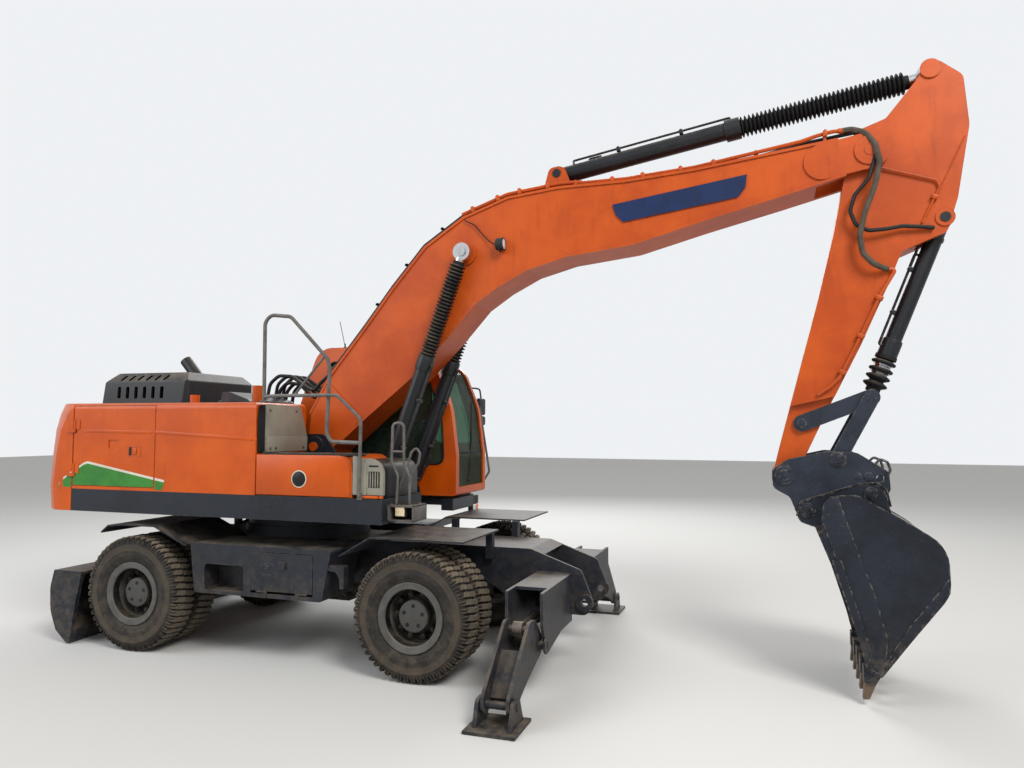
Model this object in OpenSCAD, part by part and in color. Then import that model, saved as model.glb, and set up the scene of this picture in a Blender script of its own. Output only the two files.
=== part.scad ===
// Wheeled excavator of the 21 tonne class, in millimetres.
// X points to the outrigger end, Y to the cab side, Z up from the ground.
// Places are measured from the slew axis and moved once by at_slew().

/* [Whole machine] */
// Slew axis, measured from the middle of the machine's outline
slew_x = -1660; // [-1700:10:-1600]
// Half the width over the bodywork
body_half_w = 1250; // [1200:10:1300]
// Distance between the two axles
wheelbase = 2850; // [2700:10:2900]
// Rear axle, measured from the slew axis
rear_axle_x = -1100; // [-1150:10:-1050]

/* [Wheels] */
// Radius over the tread lugs
tyre_r = 528; // [515:1:535]
// Depth of the tread lugs
lug_h = 16; // [10:1:22]
// Width of one tyre
tyre_w = 265; // [240:1:275]
// Gap between the twin tyres
twin_gap = 30; // [15:1:50]
// Lugs round one shoulder of a tyre
lug_count = 26; // [18:1:30]
// Radius of the rim flange
rim_r = 284; // [270:1:300]
// Radius of the round hub cover
hub_r = 128; // [110:1:140]
// Length of the hub cover along the axle
hub_len = 70; // [40:5:100]

/* [Undercarriage] */
// Top of the frame
frame_top = 1000; // [960:10:1020]
// Bottom of the frame
frame_bottom = 590; // [560:10:620]
// Half the width of the frame between the wheels
frame_half_w = 340; // [320:5:360]
// Radius of the lower slew ring
ring_r = 620; // [560:10:660]
// Half the distance between the king pins
kingpin_y = 610; // [600:5:620]
// Radius of a king pin
kingpin_r = 32; // [25:1:40]
// Radius of the axle tubes
axle_tube_r = 95; // [80:5:110]
// Mudguard height above the ground
guard_z = 1165; // [1140:5:1180]
// Thickness of mudguard and step plates
guard_t = 14; // [8:1:20]
// Lashing eye hole radius
eye_r = 30; // [20:1:35]

/* [Outriggers] */
// Middle of the outrigger beam, from the slew axis
beam_x = 2730; // [2700:10:2760]
// Half the clear width inside the beam's end
beam_gap = 130; // [120:5:140]
// Thickness of the beam's side plates
beam_t = 25; // [20:1:30]
// Half the length of the beam across the machine
beam_half_l = 1250; // [1200:10:1260]
// Radius of the leg's pivot pin
leg_pin_r = 32; // [25:1:40]
// Half the width of a leg
leg_half_w = 108; // [100:2:116]
// Half the size of a ground pad
pad_half = 190; // [160:5:200]
// Thickness of a ground pad
pad_t = 22; // [15:1:30]

/* [Blade] */
// Half the width of the blade
blade_half_w = 1230; // [1200:10:1250]
// Height of the blade
blade_h = 690; // [650:10:720]
// Clear height under the blade as it rests
blade_rest = 6; // [4:1:12]
// Radius of the blade arm's pivot pin
blade_pin_r = 30; // [25:1:35]

/* [Upper body] */
// Underside of the skirt
skirt_z = 1270; // [1250:5:1280]
// Top of the dark skirt
deck_z = 1480; // [1460:5:1500]
// Top of the engine house
hood_z = 2300; // [2260:10:2340]
// Top of the tool box
box_z = 1840; // [1800:10:1880]
// Tail radius about the slew axis
tail_r = 2780; // [2700:10:2800]
// Joint between counterweight and engine house
weight_x = -1845; // [-1880:5:-1820]
// Joint between the pump door and the fuel tank side
tank_x = -860; // [-900:5:-820]
// Thickness of the body panels
panel_t = 25; // [15:1:35]
// Radius of the engine house's upper side edges
house_r = 55; // [30:5:90]
// Visible gap between body panels
panel_gap = 8; // [5:1:12]

/* [Cab] */
// Inner side of the cab
cab_y0 = 410; // [408:2:430]
// Outer side of the cab
cab_y1 = 1270; // [1240:5:1280]
// Rear wall of the cab
cab_x0 = -440; // [-460:5:-420]
// Front wall of the cab at the floor
cab_x1 = 1465; // [1430:5:1480]
// Underside of the cab
cab_z0 = 1372; // [1340:2:1390]
// Top of the cab
cab_z1 = 2950; // [2900:10:3050]
// Thickness of the cab's posts and walls
cab_t = 55; // [45:1:65]

/* [Boom and arm] */
// Half the width of the boom over its top and bottom plates
boom_half_w = 230; // [215:1:240]
// How far the boom's side plates stand inside its top and bottom plates
boom_inset = 14; // [8:1:20]
// Radius of the boom's foot pin
foot_pin_r = 45; // [40:1:50]
// Distance of a boom cylinder from the middle plane
boom_cyl_y = 316; // [312:1:322]
// Outer radius of the boom cylinders
boom_cyl_r = 68; // [60:1:72]
// Radius of the boom cylinders' rods
boom_rod_r = 43; // [38:1:46]
// Outer radius of the arm cylinder
arm_cyl_r = 78; // [70:1:84]
// Radius of the arm cylinder's rod
arm_rod_r = 50; // [44:1:54]
// Half the width of the arm
arm_half_w = 165; // [155:1:175]
// Outer radius of the bucket cylinder
bucket_cyl_r = 66; // [60:1:72]
// Radius of the bucket cylinder's rod
bucket_rod_r = 40; // [36:1:45]
// Outer radius of the rubber boots over the collar
boot_over = 26; // [15:1:35]

/* [Bucket] */
// Half the width of the bucket
bucket_half_w = 590; // [560:5:610]
// Thickness of the bucket's side plates
bucket_side_t = 22; // [16:1:30]
// Thickness of the bucket's shell
bucket_shell_t = 20; // [14:1:26]
// Number of teeth
tooth_count = 5; // [4:1:6]
// Radius of the bucket pins
bucket_pin_r = 40; // [35:1:45]

/* [Pins] */
// Gap round a pin that turns in its hole
pin_gap = 0.4; // [0.3:0.1:0.8]

/* [Hidden] */
$fn = 48;

// Pins and joint axes in the XZ plane, from the slew axis
foot = [230, 1885];
boom_base = [980, 1425];
boom_eye = [1815, 3735];
tip = [5360, 4360];
arm_base = [2680, 4470];
arm_eye = tip + [465, 640];
bucket_base = tip + [545, -585];
arm_end = tip + [-700, -2660];
rocker_pin = arm_end + [145, 427];
bucket_eye = arm_end + [680, 640];
link_pin = arm_end + [417, 136];
hook_front = arm_end + [175, -282];
hook_rear = arm_end + [650, -136];

front_axle_x = rear_axle_x + wheelbase;
axle_z = tyre_r;
tyre_y1 = body_half_w - tyre_w / 2;
tyre_y0 = tyre_y1 - tyre_w - twin_gap;
hub_face = (tyre_y0 + tyre_y1) / 2 - 65;
steer_x = 256;
journal_r = 78;

// Outrigger joints in the YZ plane, on the side of negative Y
leg_pin = [-1190, 400];
leg_eye = [-1381, 561];
leg_base = [-390, 560];
leg_foot = [-1860, 150];

// Blade joints in the XZ plane
blade_pin = [-1330, 640];
blade_cyl_base = [-1430, 900];
blade_cyl_eye = [-1760, 470];

// Rear lashing eyes, clear of the wheels
rear_eye = [-1505, 935];

// Door and lid hinges
hood_hinge = [-600, 2325];
pump_hinge = [weight_x + 20, -body_half_w - 6];
hinge_rows = [deck_z + 150, hood_z - 250];
radiator_hinge = [weight_x + 20, body_half_w + 6];
lid_hinge = [280, box_z + 9];
cab_hinge = [-395, cab_y1 + 12];
door_hinge_rows = [1600, 2110];
side_door_z = 628;

function unit(v) = v / norm(v);

// Arc that rounds corner c between p and q with radius r
function corner(p, c, q, r) =
    r == 0 ? [c] :
    let (a = unit(p - c), b = unit(q - c), half = acos(a * b) / 2, o = c + unit(a + b) * r / sin(half),
         s = c + a * r / tan(half), e = c + b * r / tan(half),
         a0 = atan2(s.y - o.y, s.x - o.x), raw = atan2(e.y - o.y, e.x - o.x) - a0,
         d = raw > 180 ? raw - 360 : raw < -180 ? raw + 360 : raw, n = max(2, ceil(abs(d) / 14)))
    [for (k = [0:n]) o + r * [cos(a0 + d * k / n), sin(a0 + d * k / n)]];

// Outline through rows of [across, up, corner radius]
function rounded(rows) =
    let (n = len(rows))
    [for (i = [0:n - 1]) let (p = rows[(i + n - 1) % n], c = rows[i], q = rows[(i + 1) % n])
        each corner([p.x, p.y], [c.x, c.y], [q.x, q.y], c.z)];

function turned(p, a) = [p.x * cos(a) - p.y * sin(a), p.x * sin(a) + p.y * cos(a)];
function moved(rows, at) = [for (r = rows) [r.x + at.x, r.y + at.y, r.z]];
function shifted(rows, at) = [for (r = rows) [r.x + at.x, r.y + at.y]];

module at_slew() { translate([slew_x, 0, 0]) children(); }

// Solid between two Y planes from an outline drawn in X and Z
module xz(y0, y1) { translate([0, y1, 0]) rotate([90, 0, 0]) linear_extrude(y1 - y0) children(); }

// Solid between two X planes from an outline drawn in Y and Z
module yz(x0, x1) { translate([x0, 0, 0]) rotate([90, 0, 90]) linear_extrude(x1 - x0) children(); }

module pin_y(p, r, y0, y1) {
    translate([p.x, y1, p.y]) rotate([90, 0, 0]) cylinder(r = r, h = y1 - y0);
}

module pin_x(p, r, x0, x1) {
    translate([x0, p.x, p.y]) rotate([0, 90, 0]) cylinder(r = r, h = x1 - x0);
}

// Turns +Z along the line from p to q in the XZ plane
module aim(p, q, y = 0) {
    translate([p.x, y, p.y]) rotate([0, atan2(q.x - p.x, q.y - p.y), 0]) children();
}

module block(x0, x1, y0, y1, z0, z1) {
    translate([x0, y0, z0]) cube([x1 - x0, y1 - y0, z1 - z0]);
}

module both_sides() {
    children();
    mirror([0, 1, 0]) children();
}

// Undercarriage

frame_side = [
    [-1440, frame_bottom, 60], [-1440, frame_top - 20, 40], [-700, frame_top, 0],
    [beam_x - 230, frame_top, 60], [beam_x + 235, 835, 50], [beam_x + 330, 600, 40],
    [beam_x + 300, 450, 60], [beam_x - 260, 450, 60], [front_axle_x + 330, 700, 80],
    [front_axle_x - 330, 700, 80], [front_axle_x - 520, frame_bottom, 60],
    [rear_axle_x + 420, frame_bottom, 60], [rear_axle_x + 250, 690, 60],
    [rear_axle_x - 180, 690, 40]
];

module chassis() {
    cheek_t = 30;
    color("#2c3036") at_slew() difference() {
        union() {
            both_sides() xz(frame_half_w - cheek_t, frame_half_w) polygon(rounded(frame_side));
            intersection() {
                xz(-frame_half_w, frame_half_w) polygon(rounded(frame_side));
                union() {
                    block(-1440, beam_x + 200, -frame_half_w, frame_half_w, frame_top - 45, frame_top);
                    block(-760, front_axle_x - 560, -frame_half_w, frame_half_w, 500, frame_top);
                    block(beam_x - 300, beam_x - 165, -frame_half_w, frame_half_w, 400, frame_top);
                    block(-1240, -1200, -frame_half_w, frame_half_w, 750, frame_top);
                }
            }
            translate([0, 0, frame_top - 1]) cylinder(r = ring_r, h = 120);
            translate([0, 0, frame_top - 60]) cylinder(r = ring_r + 70, h = 38);
            // ears for the blade arms and their cylinders
            both_sides() for (y = [[188, 16], [252, 28]]) xz(y.x, y.x + y.y) polygon(rounded([
                [-1210, 600, 0], [blade_pin.x - 55, 590, 50], [blade_pin.x - 60, 720, 30],
                [blade_cyl_base.x - 55, 880, 30], [blade_cyl_base.x - 50, 985, 40], [-1210, 985, 0]]));
            both_sides() xz(76, 92) polygon(rounded([
                [-1210, 830, 0], [blade_cyl_base.x - 45, 880, 40], [blade_cyl_base.x - 50, 985, 40], [-1210, 985, 0]]));
            // ears over the axles, one pair at the oscillating front axle
            for (x = [front_axle_x - 160, front_axle_x + 110])
                block(x, x + 50, -frame_half_w, frame_half_w, 745, frame_top - 20);
            // lashing eyes on both ends
            both_sides() xz(frame_half_w - 6, frame_half_w + 26) translate([beam_x + 270, 560]) circle(75);
            both_sides() xz(frame_half_w - 6, frame_half_w + 26) translate(rear_eye) circle(75);
        }
        translate([0, 0, frame_top - 200]) cylinder(r = 300, h = 400);
        pin_x([0, axle_z + 290], 46, front_axle_x - 200, front_axle_x + 200);
        for (p = [blade_pin, blade_cyl_base]) pin_y(p, blade_pin_r + pin_gap, -400, 400);
        both_sides() for (p = [[beam_x + 270, 560], rear_eye]) pin_y(p, eye_r, 290, 400);
    }
}

module outrigger_beam() {
    half = beam_gap + beam_t;
    color("#2c3036") at_slew() difference() {
        union() {
            for (side = [-half, beam_gap])
                yz(beam_x + side, beam_x + side + beam_t) polygon(rounded([
                    [-beam_half_l, 810, 15], [-beam_half_l, 560, 30], [-beam_half_l + 110, 320, 45],
                    [-700, 400, 60], [700, 400, 60], [beam_half_l - 110, 320, 45],
                    [beam_half_l, 560, 30], [beam_half_l, 810, 15]]));
            block(beam_x - half, beam_x + half, -1045, 1045, 785, 810);
            block(beam_x - half, beam_x + half, -frame_half_w - 20, frame_half_w + 20, 402, 425);
            both_sides() pin_x(leg_pin, 62, beam_x - half - 14, beam_x - half + 1);
            both_sides() pin_x(leg_pin, 62, beam_x + half - 1, beam_x + half + 14);
            both_sides() for (x = [beam_x - 110, beam_x + 70])
                yz(x, x + 40) polygon(rounded([[-500, 786, 0], [-460, 480, 60], [-330, 480, 60], [-300, 786, 0]]));
        }
        // the beam is cut round the frame that carries it
        block(beam_x - half - 20, beam_x + half + 20, -frame_half_w - 0.3, frame_half_w + 0.3, 0, 1200);
        both_sides() pin_x(leg_pin, leg_pin_r + pin_gap, beam_x - 300, beam_x + 300);
        both_sides() pin_x(leg_base, 26 + pin_gap, beam_x - 120, beam_x + 120);
    }
}

module guard(rows) {
    n = len(rows);
    inner = [for (i = [n - 1:-1:0]) [rows[i].x, rows[i].y - guard_t]];
    polygon(concat([for (r = rows) [r.x, r.y]], inner));
}

module mudguards() {
    rear = [[-1480, 1085], [-1400, 1150], [-1230, guard_z], [-860, guard_z], [-500, 1010]];
    front = [[1085, 1000], [1370, guard_z], [2215, guard_z]];
    color("#26292e") at_slew() both_sides() {
        for (rows = [rear, front]) {
            xz(frame_half_w + 40, body_half_w - 10) guard(rows);
        }
        for (x = [-1200, -900, 1450, 2100])
            xz(frame_half_w + 0.3, frame_half_w + 70) polygon([
                [x, 900], [x + 60, 900], [x + 60, guard_z - guard_t + 1], [x, guard_z - guard_t + 1]]);
    }
}

box_rows = [[-455, 1030, 25], [-400, 590, 30], [915, 590, 30], [1000, 1030, 25]];

module side_boxes() {
    y0 = -body_half_w + 25;
    y1 = -ring_r - 85;
    color("#2c3036") at_slew() {
        // right box with one step pocket and a locker
        difference() {
            xz(y0, y1) polygon(rounded(box_rows));
            xz(y0 - 1, y0 + 200) polygon(rounded([[-300, 850, 40], [-290, 620, 30], [125, 620, 30], [125, 850, 40]]));
            block(200, 830, y0 - 1, y1 - 30, 625, 985);
        }
        xz(y0 + 10, y0 + 90) polygon(rounded([
            [935, 860, 0], [935, 900, 20], [1120, 905, 20], [1120, 715, 10], [1085, 715, 10], [1080, 800, 40],
            [1045, 855, 50]]));
        for (x = [340 + pin_gap, 660 - pin_gap]) {
            block(x, x + 30, y0 - 5, y0 + 20, 605, 640);
            pin_x([y0 + 4, side_door_z + 12], 9, x, x + 30);
        }
        // left box with two step pockets below the cab door
        mirror([0, 1, 0]) difference() {
            xz(y0, y1) polygon(rounded(box_rows));
            for (x = [-250, 350])
                xz(y0 - 1, y0 + 200) polygon(rounded([
                    [x, 850, 40], [x, 620, 30], [x + 420, 620, 30], [x + 420, 850, 40]]));
        }
        both_sides() for (x = [-250, 650]) block(x, x + 120, y1 - 1, -frame_half_w - 0.3, 700, 925);
    }
}

module side_box_door() {
    y0 = -body_half_w + 25;
    color("#30343a") at_slew() difference() {
        union() {
            block(205, 825, y0 - 4, y0 + 16, 650, 980);
            pin_x([y0 + 4, side_door_z + 12], 9, 260, 340);
            pin_x([y0 + 4, side_door_z + 12], 9, 690, 770);
            block(260, 340, y0 - 2, y0 + 10, 636, 660);
            block(690, 770, y0 - 2, y0 + 10, 636, 660);
            block(490, 560, y0 - 22, y0 - 3, 850, 910);
        }
    }
}

module front_axle() {
    color("#202327") at_slew() translate([front_axle_x, 0, axle_z]) difference() {
        union() {
            both_sides() translate([0, 130, 0]) rotate([-90, 0, 0]) cylinder(r = axle_tube_r, h = kingpin_y - 205);
            sphere(r = 205);
            rotate([0, 90, 0]) cylinder(r = 90, h = 420, center = true);
            // yoke up to the oscillation pin
            xz(-120, 120) polygon(rounded([[-95, 0, 0], [-80, 345, 40], [80, 345, 40], [95, 0, 0]]));
            // cradle of the steering cylinder
            block(-steer_x + 48 + pin_gap, -110, -60, 60, -175, -125);
            // forks that hold the knuckles
            both_sides() translate([0, kingpin_y, 0]) {
                for (z = [-165, 105]) translate([0, 0, z]) cylinder(r = 62, h = 60);
                for (z = [-165, 105]) block(-60, 60, -110, 0, z, z + 60);
                block(-60, 60, -150, -80, -165, 165);
            }
        }
        rotate([0, 90, 0]) translate([-290, 0, 0]) cylinder(r = 45 + pin_gap, h = 400, center = true);
        both_sides() translate([0, kingpin_y, -300]) cylinder(r = kingpin_r + pin_gap, h = 600);
    }
    color("#202327") at_slew() pin_x([0, axle_z + 290], 45, front_axle_x - 180, front_axle_x + 180);
}

module rear_axle() {
    color("#202327") at_slew() translate([rear_axle_x, 0, axle_z]) {
        both_sides() {
            rotate([-90, 0, 0]) cylinder(r = axle_tube_r, h = 560);
            translate([0, 540, 0]) rotate([-90, 0, 0]) cylinder(r = 124, h = hub_face - 550);
            rotate([-90, 0, 0]) cylinder(r = journal_r, h = hub_face + 70);
            block(-75, 75, 240, 335, 0, 161.7);
        }
        sphere(r = 215);
        rotate([0, 90, 0]) cylinder(r = 95, h = 300);
    }
}

module drivetrain() {
    z = axle_z - 20;
    color("#3a3d41") at_slew() {
        pin_x([0, z], 38, rear_axle_x + 300.3, 60);
        pin_x([0, z], 38, 620, front_axle_x - 210.3);
        for (x = [rear_axle_x + 301, 560]) pin_x([0, z], 70, x, x + 60);
        pin_x([0, z], 70, front_axle_x - 271, front_axle_x - 211);
        difference() {
            yz(60, 560) polygon(rounded([
                [-190, z - 150, 70], [190, z - 150, 70], [230, frame_bottom - 1, 0], [-230, frame_bottom - 1, 0]]));
            for (y = [-140:70:140]) block(120, 500, y - 12, y + 12, z - 152, z - 120);
        }
        pin_x([-60, z - 20], 95, 555, 690);
    }
}

// Steering knuckle on the side of positive Y
module knuckle() {
    color("#202327") at_slew() translate([front_axle_x, kingpin_y, axle_z]) difference() {
        union() {
            translate([0, 0, -104.7]) cylinder(r = 62, h = 209.4);
            translate([0, 0, -178]) cylinder(r = kingpin_r, h = 356);
            rotate([-90, 0, 0]) cylinder(r = journal_r, h = hub_face + 70 - kingpin_y);
            translate([0, 75, 0]) rotate([-90, 0, 0]) cylinder(r = 118, h = hub_face - 85 - kingpin_y);
            // steering arm towards the middle of the machine
            xz(-20, 20) polygon(rounded([[-225, -180, 25], [-225, -110, 25], [0, 60, 0], [0, -60, 0]]));
        }
        translate([-190, 0, -200]) cylinder(r = 18 + pin_gap, h = 400);
    }
}

module knuckle_left() { knuckle(); }
module knuckle_right() { mirror([0, 1, 0]) knuckle(); }

module steering_rod() {
    z = axle_z - 150;
    color("#8a8d90") at_slew() {
        translate([front_axle_x - steer_x, -kingpin_y + 60, z]) rotate([-90, 0, 0]) cylinder(r = 24, h = 2 * kingpin_y - 120);
        translate([front_axle_x - steer_x, -150, z]) rotate([-90, 0, 0]) cylinder(r = 48, h = 300);
    }
}

// Rim pair of one twin wheel, its outer face towards positive Y, on the axle's middle
module rims() {
    mid = (tyre_y0 + tyre_y1) / 2;
    half = (tyre_y1 - tyre_y0) / 2 + tyre_w / 2 - 22;
    flange = [
        [rim_r - 62, -half, 0], [rim_r - 30, -half, 0], [rim_r - 30, half, 0], [rim_r - 62, half, 0]
    ];
    color("#3c3d40") translate([0, mid, 0]) rotate([-90, 0, 0]) difference() {
        union() {
            // barrel with its flanges and the ring between the twins
            rotate_extrude() polygon([
                [rim_r - 48, -half], [rim_r, -half], [rim_r, -half + 10], [rim_r - 30, -half + 20],
                [rim_r - 30, half - 20], [rim_r, half - 10], [rim_r, half], [rim_r - 48, half]]);
            // dished wheel disc and hub cover
            rotate_extrude() polygon([
                [0, 60], [150, 60], [180, 30], [rim_r - 40, 30], [rim_r - 40, 48], [185, 48], [158, 80], [0, 80]]);
            translate([0, 0, 70]) cylinder(r1 = hub_r, r2 = hub_r - 14, h = hub_len + 60);
            for (k = [0:9]) rotate([0, 0, 36 * k]) translate([hub_r + 26, 0, 70]) cylinder(r = 13, h = 30);
            translate([0, 0, -100]) cylinder(r = 115, h = 165);
        }
        // hand holes of the disc
        for (k = [0:4]) rotate([0, 0, 72 * k]) translate([208, 0, 0]) cylinder(r = 22, h = 100);
        translate([0, 0, -half - 1]) cylinder(r = 131, h = half - 64);
        translate([0, 0, -half - 1]) cylinder(r = journal_r + pin_gap, h = half + 20);
    }
}

tyre_section = [
    [rim_r - 29.7, -88, 0], [rim_r + 6, -100, 0], [rim_r + 70, -tyre_w / 2 + 2, 0], [rim_r + 130, -tyre_w / 2, 0],
    [tyre_r - lug_h - 26, -118, 0], [tyre_r - lug_h, -96, 0], [tyre_r - lug_h, 96, 0],
    [tyre_r - lug_h - 26, 118, 0], [rim_r + 130, tyre_w / 2, 0], [rim_r + 70, tyre_w / 2 - 2, 0],
    [rim_r + 6, 100, 0], [rim_r - 29.7, 88, 0]
];

// One row of lugs as a toothed ring; lead turns the row by a share of its pitch
module lug_ring(count, width, lead) {
    pitch = 360 / count;
    inner = tyre_r - lug_h - 8;
    linear_extrude(width) difference() {
        polygon([for (k = [0:count - 1]) each let (a = pitch * (k + lead)) [
            inner * [cos(a), sin(a)], tyre_r * [cos(a + pitch * 0.08), sin(a + pitch * 0.08)],
            tyre_r * [cos(a + pitch * 0.54), sin(a + pitch * 0.54)],
            inner * [cos(a + pitch * 0.62), sin(a + pitch * 0.62)]]]);
        circle(tyre_r - lug_h - 40);
    }
}

module tyre(y) {
    color("#4a453d") translate([0, y, 0]) rotate([-90, 0, 0]) {
        rotate_extrude() polygon([for (p = tyre_section) [p.x, p.y]]);
        for (row = [[-116, 0], [14, 0.5]])
            translate([0, 0, row.x]) lug_ring(lug_count, 102, row.y);
    }
}

module twin_tyres() {
    for (y = [tyre_y0, tyre_y1]) tyre(y);
}

module at_wheel(x) { at_slew() translate([x, 0, axle_z]) children(); }

module rim_front_left() { at_wheel(front_axle_x) rims(); }
module rim_front_right() { at_wheel(front_axle_x) mirror([0, 1, 0]) rims(); }
module rim_rear_left() { at_wheel(rear_axle_x) rims(); }
module rim_rear_right() { at_wheel(rear_axle_x) mirror([0, 1, 0]) rims(); }
module tyre_front_left() { at_wheel(front_axle_x) twin_tyres(); }
module tyre_front_right() { at_wheel(front_axle_x) mirror([0, 1, 0]) twin_tyres(); }
module tyre_rear_left() { at_wheel(rear_axle_x) twin_tyres(); }
module tyre_rear_right() { at_wheel(rear_axle_x) mirror([0, 1, 0]) twin_tyres(); }

// Outrigger leg on the side of negative Y
module leg() {
    cheek = [
        [leg_eye.x - 62, leg_eye.y + 70, 60], [leg_eye.x + 78, leg_eye.y + 60, 60], [leg_pin.x + 62, leg_pin.y + 60, 60],
        [leg_pin.x + 62, leg_pin.y - 66, 60], [leg_foot.x + 330, leg_foot.y + 60, 80],
        [leg_foot.x + 60, leg_foot.y - 60, 50], [leg_foot.x - 64, leg_foot.y - 50, 50], [leg_foot.x - 60, leg_foot.y + 60, 40]
    ];
    color("#2c3036") at_slew() difference() {
        union() {
            for (x = [-leg_half_w, leg_half_w - 25]) yz(beam_x + x, beam_x + x + 25) polygon(rounded(cheek));
            // closing plates between the cheeks, open round the rod's eye
            intersection() {
                yz(beam_x - leg_half_w, beam_x + leg_half_w) polygon(rounded(cheek));
                union() {
                    translate([beam_x, leg_foot.x + 231, leg_foot.y + 135]) rotate([49, 0, 0])
                        cube([2 * leg_half_w, 360, 60], center = true);
                }
            }
            pin_x(leg_pin, leg_pin_r, beam_x - beam_gap - beam_t - 10, beam_x + beam_gap + beam_t + 10);
            pin_x(leg_pin, 58, beam_x - leg_half_w, beam_x + leg_half_w);
        }
        pin_x(leg_foot, 26 + pin_gap, beam_x - 200, beam_x + 200);
    }
}

module leg_right() { leg(); }
module leg_left() { mirror([0, 1, 0]) leg(); }

module pad() {
    color("#25282c") at_slew() difference() {
        union() {
            block(beam_x - pad_half, beam_x + pad_half, leg_foot.x - pad_half, leg_foot.x + pad_half, 0, pad_t);
            for (x = [-leg_half_w - 36, leg_half_w + 8])
                yz(beam_x + x, beam_x + x + 28) polygon(rounded([
                    [leg_foot.x - 120, pad_t - 1, 0], [leg_foot.x - 60, leg_foot.y + 50, 45],
                    [leg_foot.x + 60, leg_foot.y + 50, 45], [leg_foot.x + 150, pad_t - 1, 0]]));
            pin_x(leg_foot, 26, beam_x - leg_half_w - 50, beam_x + leg_half_w + 50);
        }
    }
}

module pad_right() { pad(); }
module pad_left() { mirror([0, 1, 0]) pad(); }

// Turns +Z along the line from p to q in the YZ plane
module aim_yz(p, q, x) {
    translate([x, p.x, p.y]) rotate([-atan2(q.x - p.x, q.y - p.y), 0, 0]) children();
}

module leg_barrel() {
    color("#2c3036") at_slew() {
        difference() {
            aim_yz(leg_base, leg_eye, beam_x) {
                translate([0, 0, 40]) cylinder(r = 62, h = 500);
                cylinder(r = 45, h = 60);
            }
            aim_yz(leg_base, leg_eye, beam_x) translate([0, 0, 80]) cylinder(r = 32 + pin_gap, h = 700);
        }
        pin_x(leg_base, 48, beam_x - 30, beam_x + 30);
        pin_x(leg_base, 26, beam_x - 108, beam_x + 108);
    }
}

module leg_barrel_right() { leg_barrel(); }
module leg_barrel_left() { mirror([0, 1, 0]) leg_barrel(); }

module leg_rod() {
    length = norm(leg_eye - leg_base);
    color("#c8cacc") at_slew() {
        aim_yz(leg_base, leg_eye, beam_x) translate([0, 0, 465]) cylinder(r = 32, h = length - 485);
        pin_x(leg_eye, 56, beam_x - 38, beam_x + 38);
        pin_x(leg_eye, 25, beam_x - 74, beam_x + 74);
    }
}

module leg_rod_right() { leg_rod(); }
module leg_rod_left() { mirror([0, 1, 0]) leg_rod(); }

// Blade

blade_rows = [
    [-1842, blade_rest, 0], [-1872, blade_rest, 0], [-2010, 120, 0], [-2085, 300, 300], [-2095, 520, 200],
    [-2050, blade_h, 10], [-1710, blade_h, 20], [-1770, 430, 60]
];

module blade() {
    color("#2c3036") at_slew() difference() {
        union() {
            difference() {
                xz(-blade_half_w, blade_half_w) polygon(rounded(blade_rows));
                // open back between the end plates and the ribs
                for (y = [-1200:400:800])
                    xz(y + 12, y + 388) polygon(rounded([
                        [-1835, 130, 0], [-1985, 200, 0], [-2050, 330, 200], [-2060, 500, 100],
                        [-2030, blade_h - 30, 10], [-1600, blade_h - 30, 0], [-1600, 130, 0]]));
            }
            both_sides() xz(212, 242) polygon(rounded([
                [blade_pin.x + 55, blade_pin.y - 50, 50], [blade_pin.x + 55, blade_pin.y + 55, 50],
                [blade_pin.x - 70, blade_pin.y + 55, 60], [-1830, 600, 60], [-2040, 560, 0], [-2020, 240, 0],
                [-1780, 240, 60], [blade_pin.x - 60, blade_pin.y - 50, 60]]));
            both_sides() for (y = [82, 183]) xz(y, y + 16) polygon(rounded([
                [-2040, 560, 0], [blade_cyl_eye.x + 60, 530, 50], [blade_cyl_eye.x + 60, 410, 50], [-2020, 240, 0]]));
            both_sides() pin_y(blade_pin, blade_pin_r, 182, 286);
        }
    }
}

blade_cyl_y = 140;

module blade_barrels() {
    color("#2c3036") at_slew() both_sides() {
        difference() {
            aim(blade_cyl_base, blade_cyl_eye, blade_cyl_y) {
                translate([0, 0, 45]) cylinder(r = 36, h = 270);
                translate([0, 0, 20]) cylinder(r = 13, h = 30);
            }
            aim(blade_cyl_base, blade_cyl_eye, blade_cyl_y) translate([0, 0, 60]) cylinder(r = 24 + pin_gap, h = 400);
        }
        pin_y(blade_cyl_base, 46, blade_cyl_y - 15, blade_cyl_y + 15);
        pin_y(blade_cyl_base, blade_pin_r, 70, 207);
    }
}

module blade_rods() {
    length = norm(blade_cyl_eye - blade_cyl_base);
    color("#c8cacc") at_slew() both_sides() {
        aim(blade_cyl_base, blade_cyl_eye, blade_cyl_y) translate([0, 0, 260]) cylinder(r = 24, h = length - 280);
        pin_y(blade_cyl_eye, 40, blade_cyl_y - 36, blade_cyl_y + 36);
    }
}

// Upper structure

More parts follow.
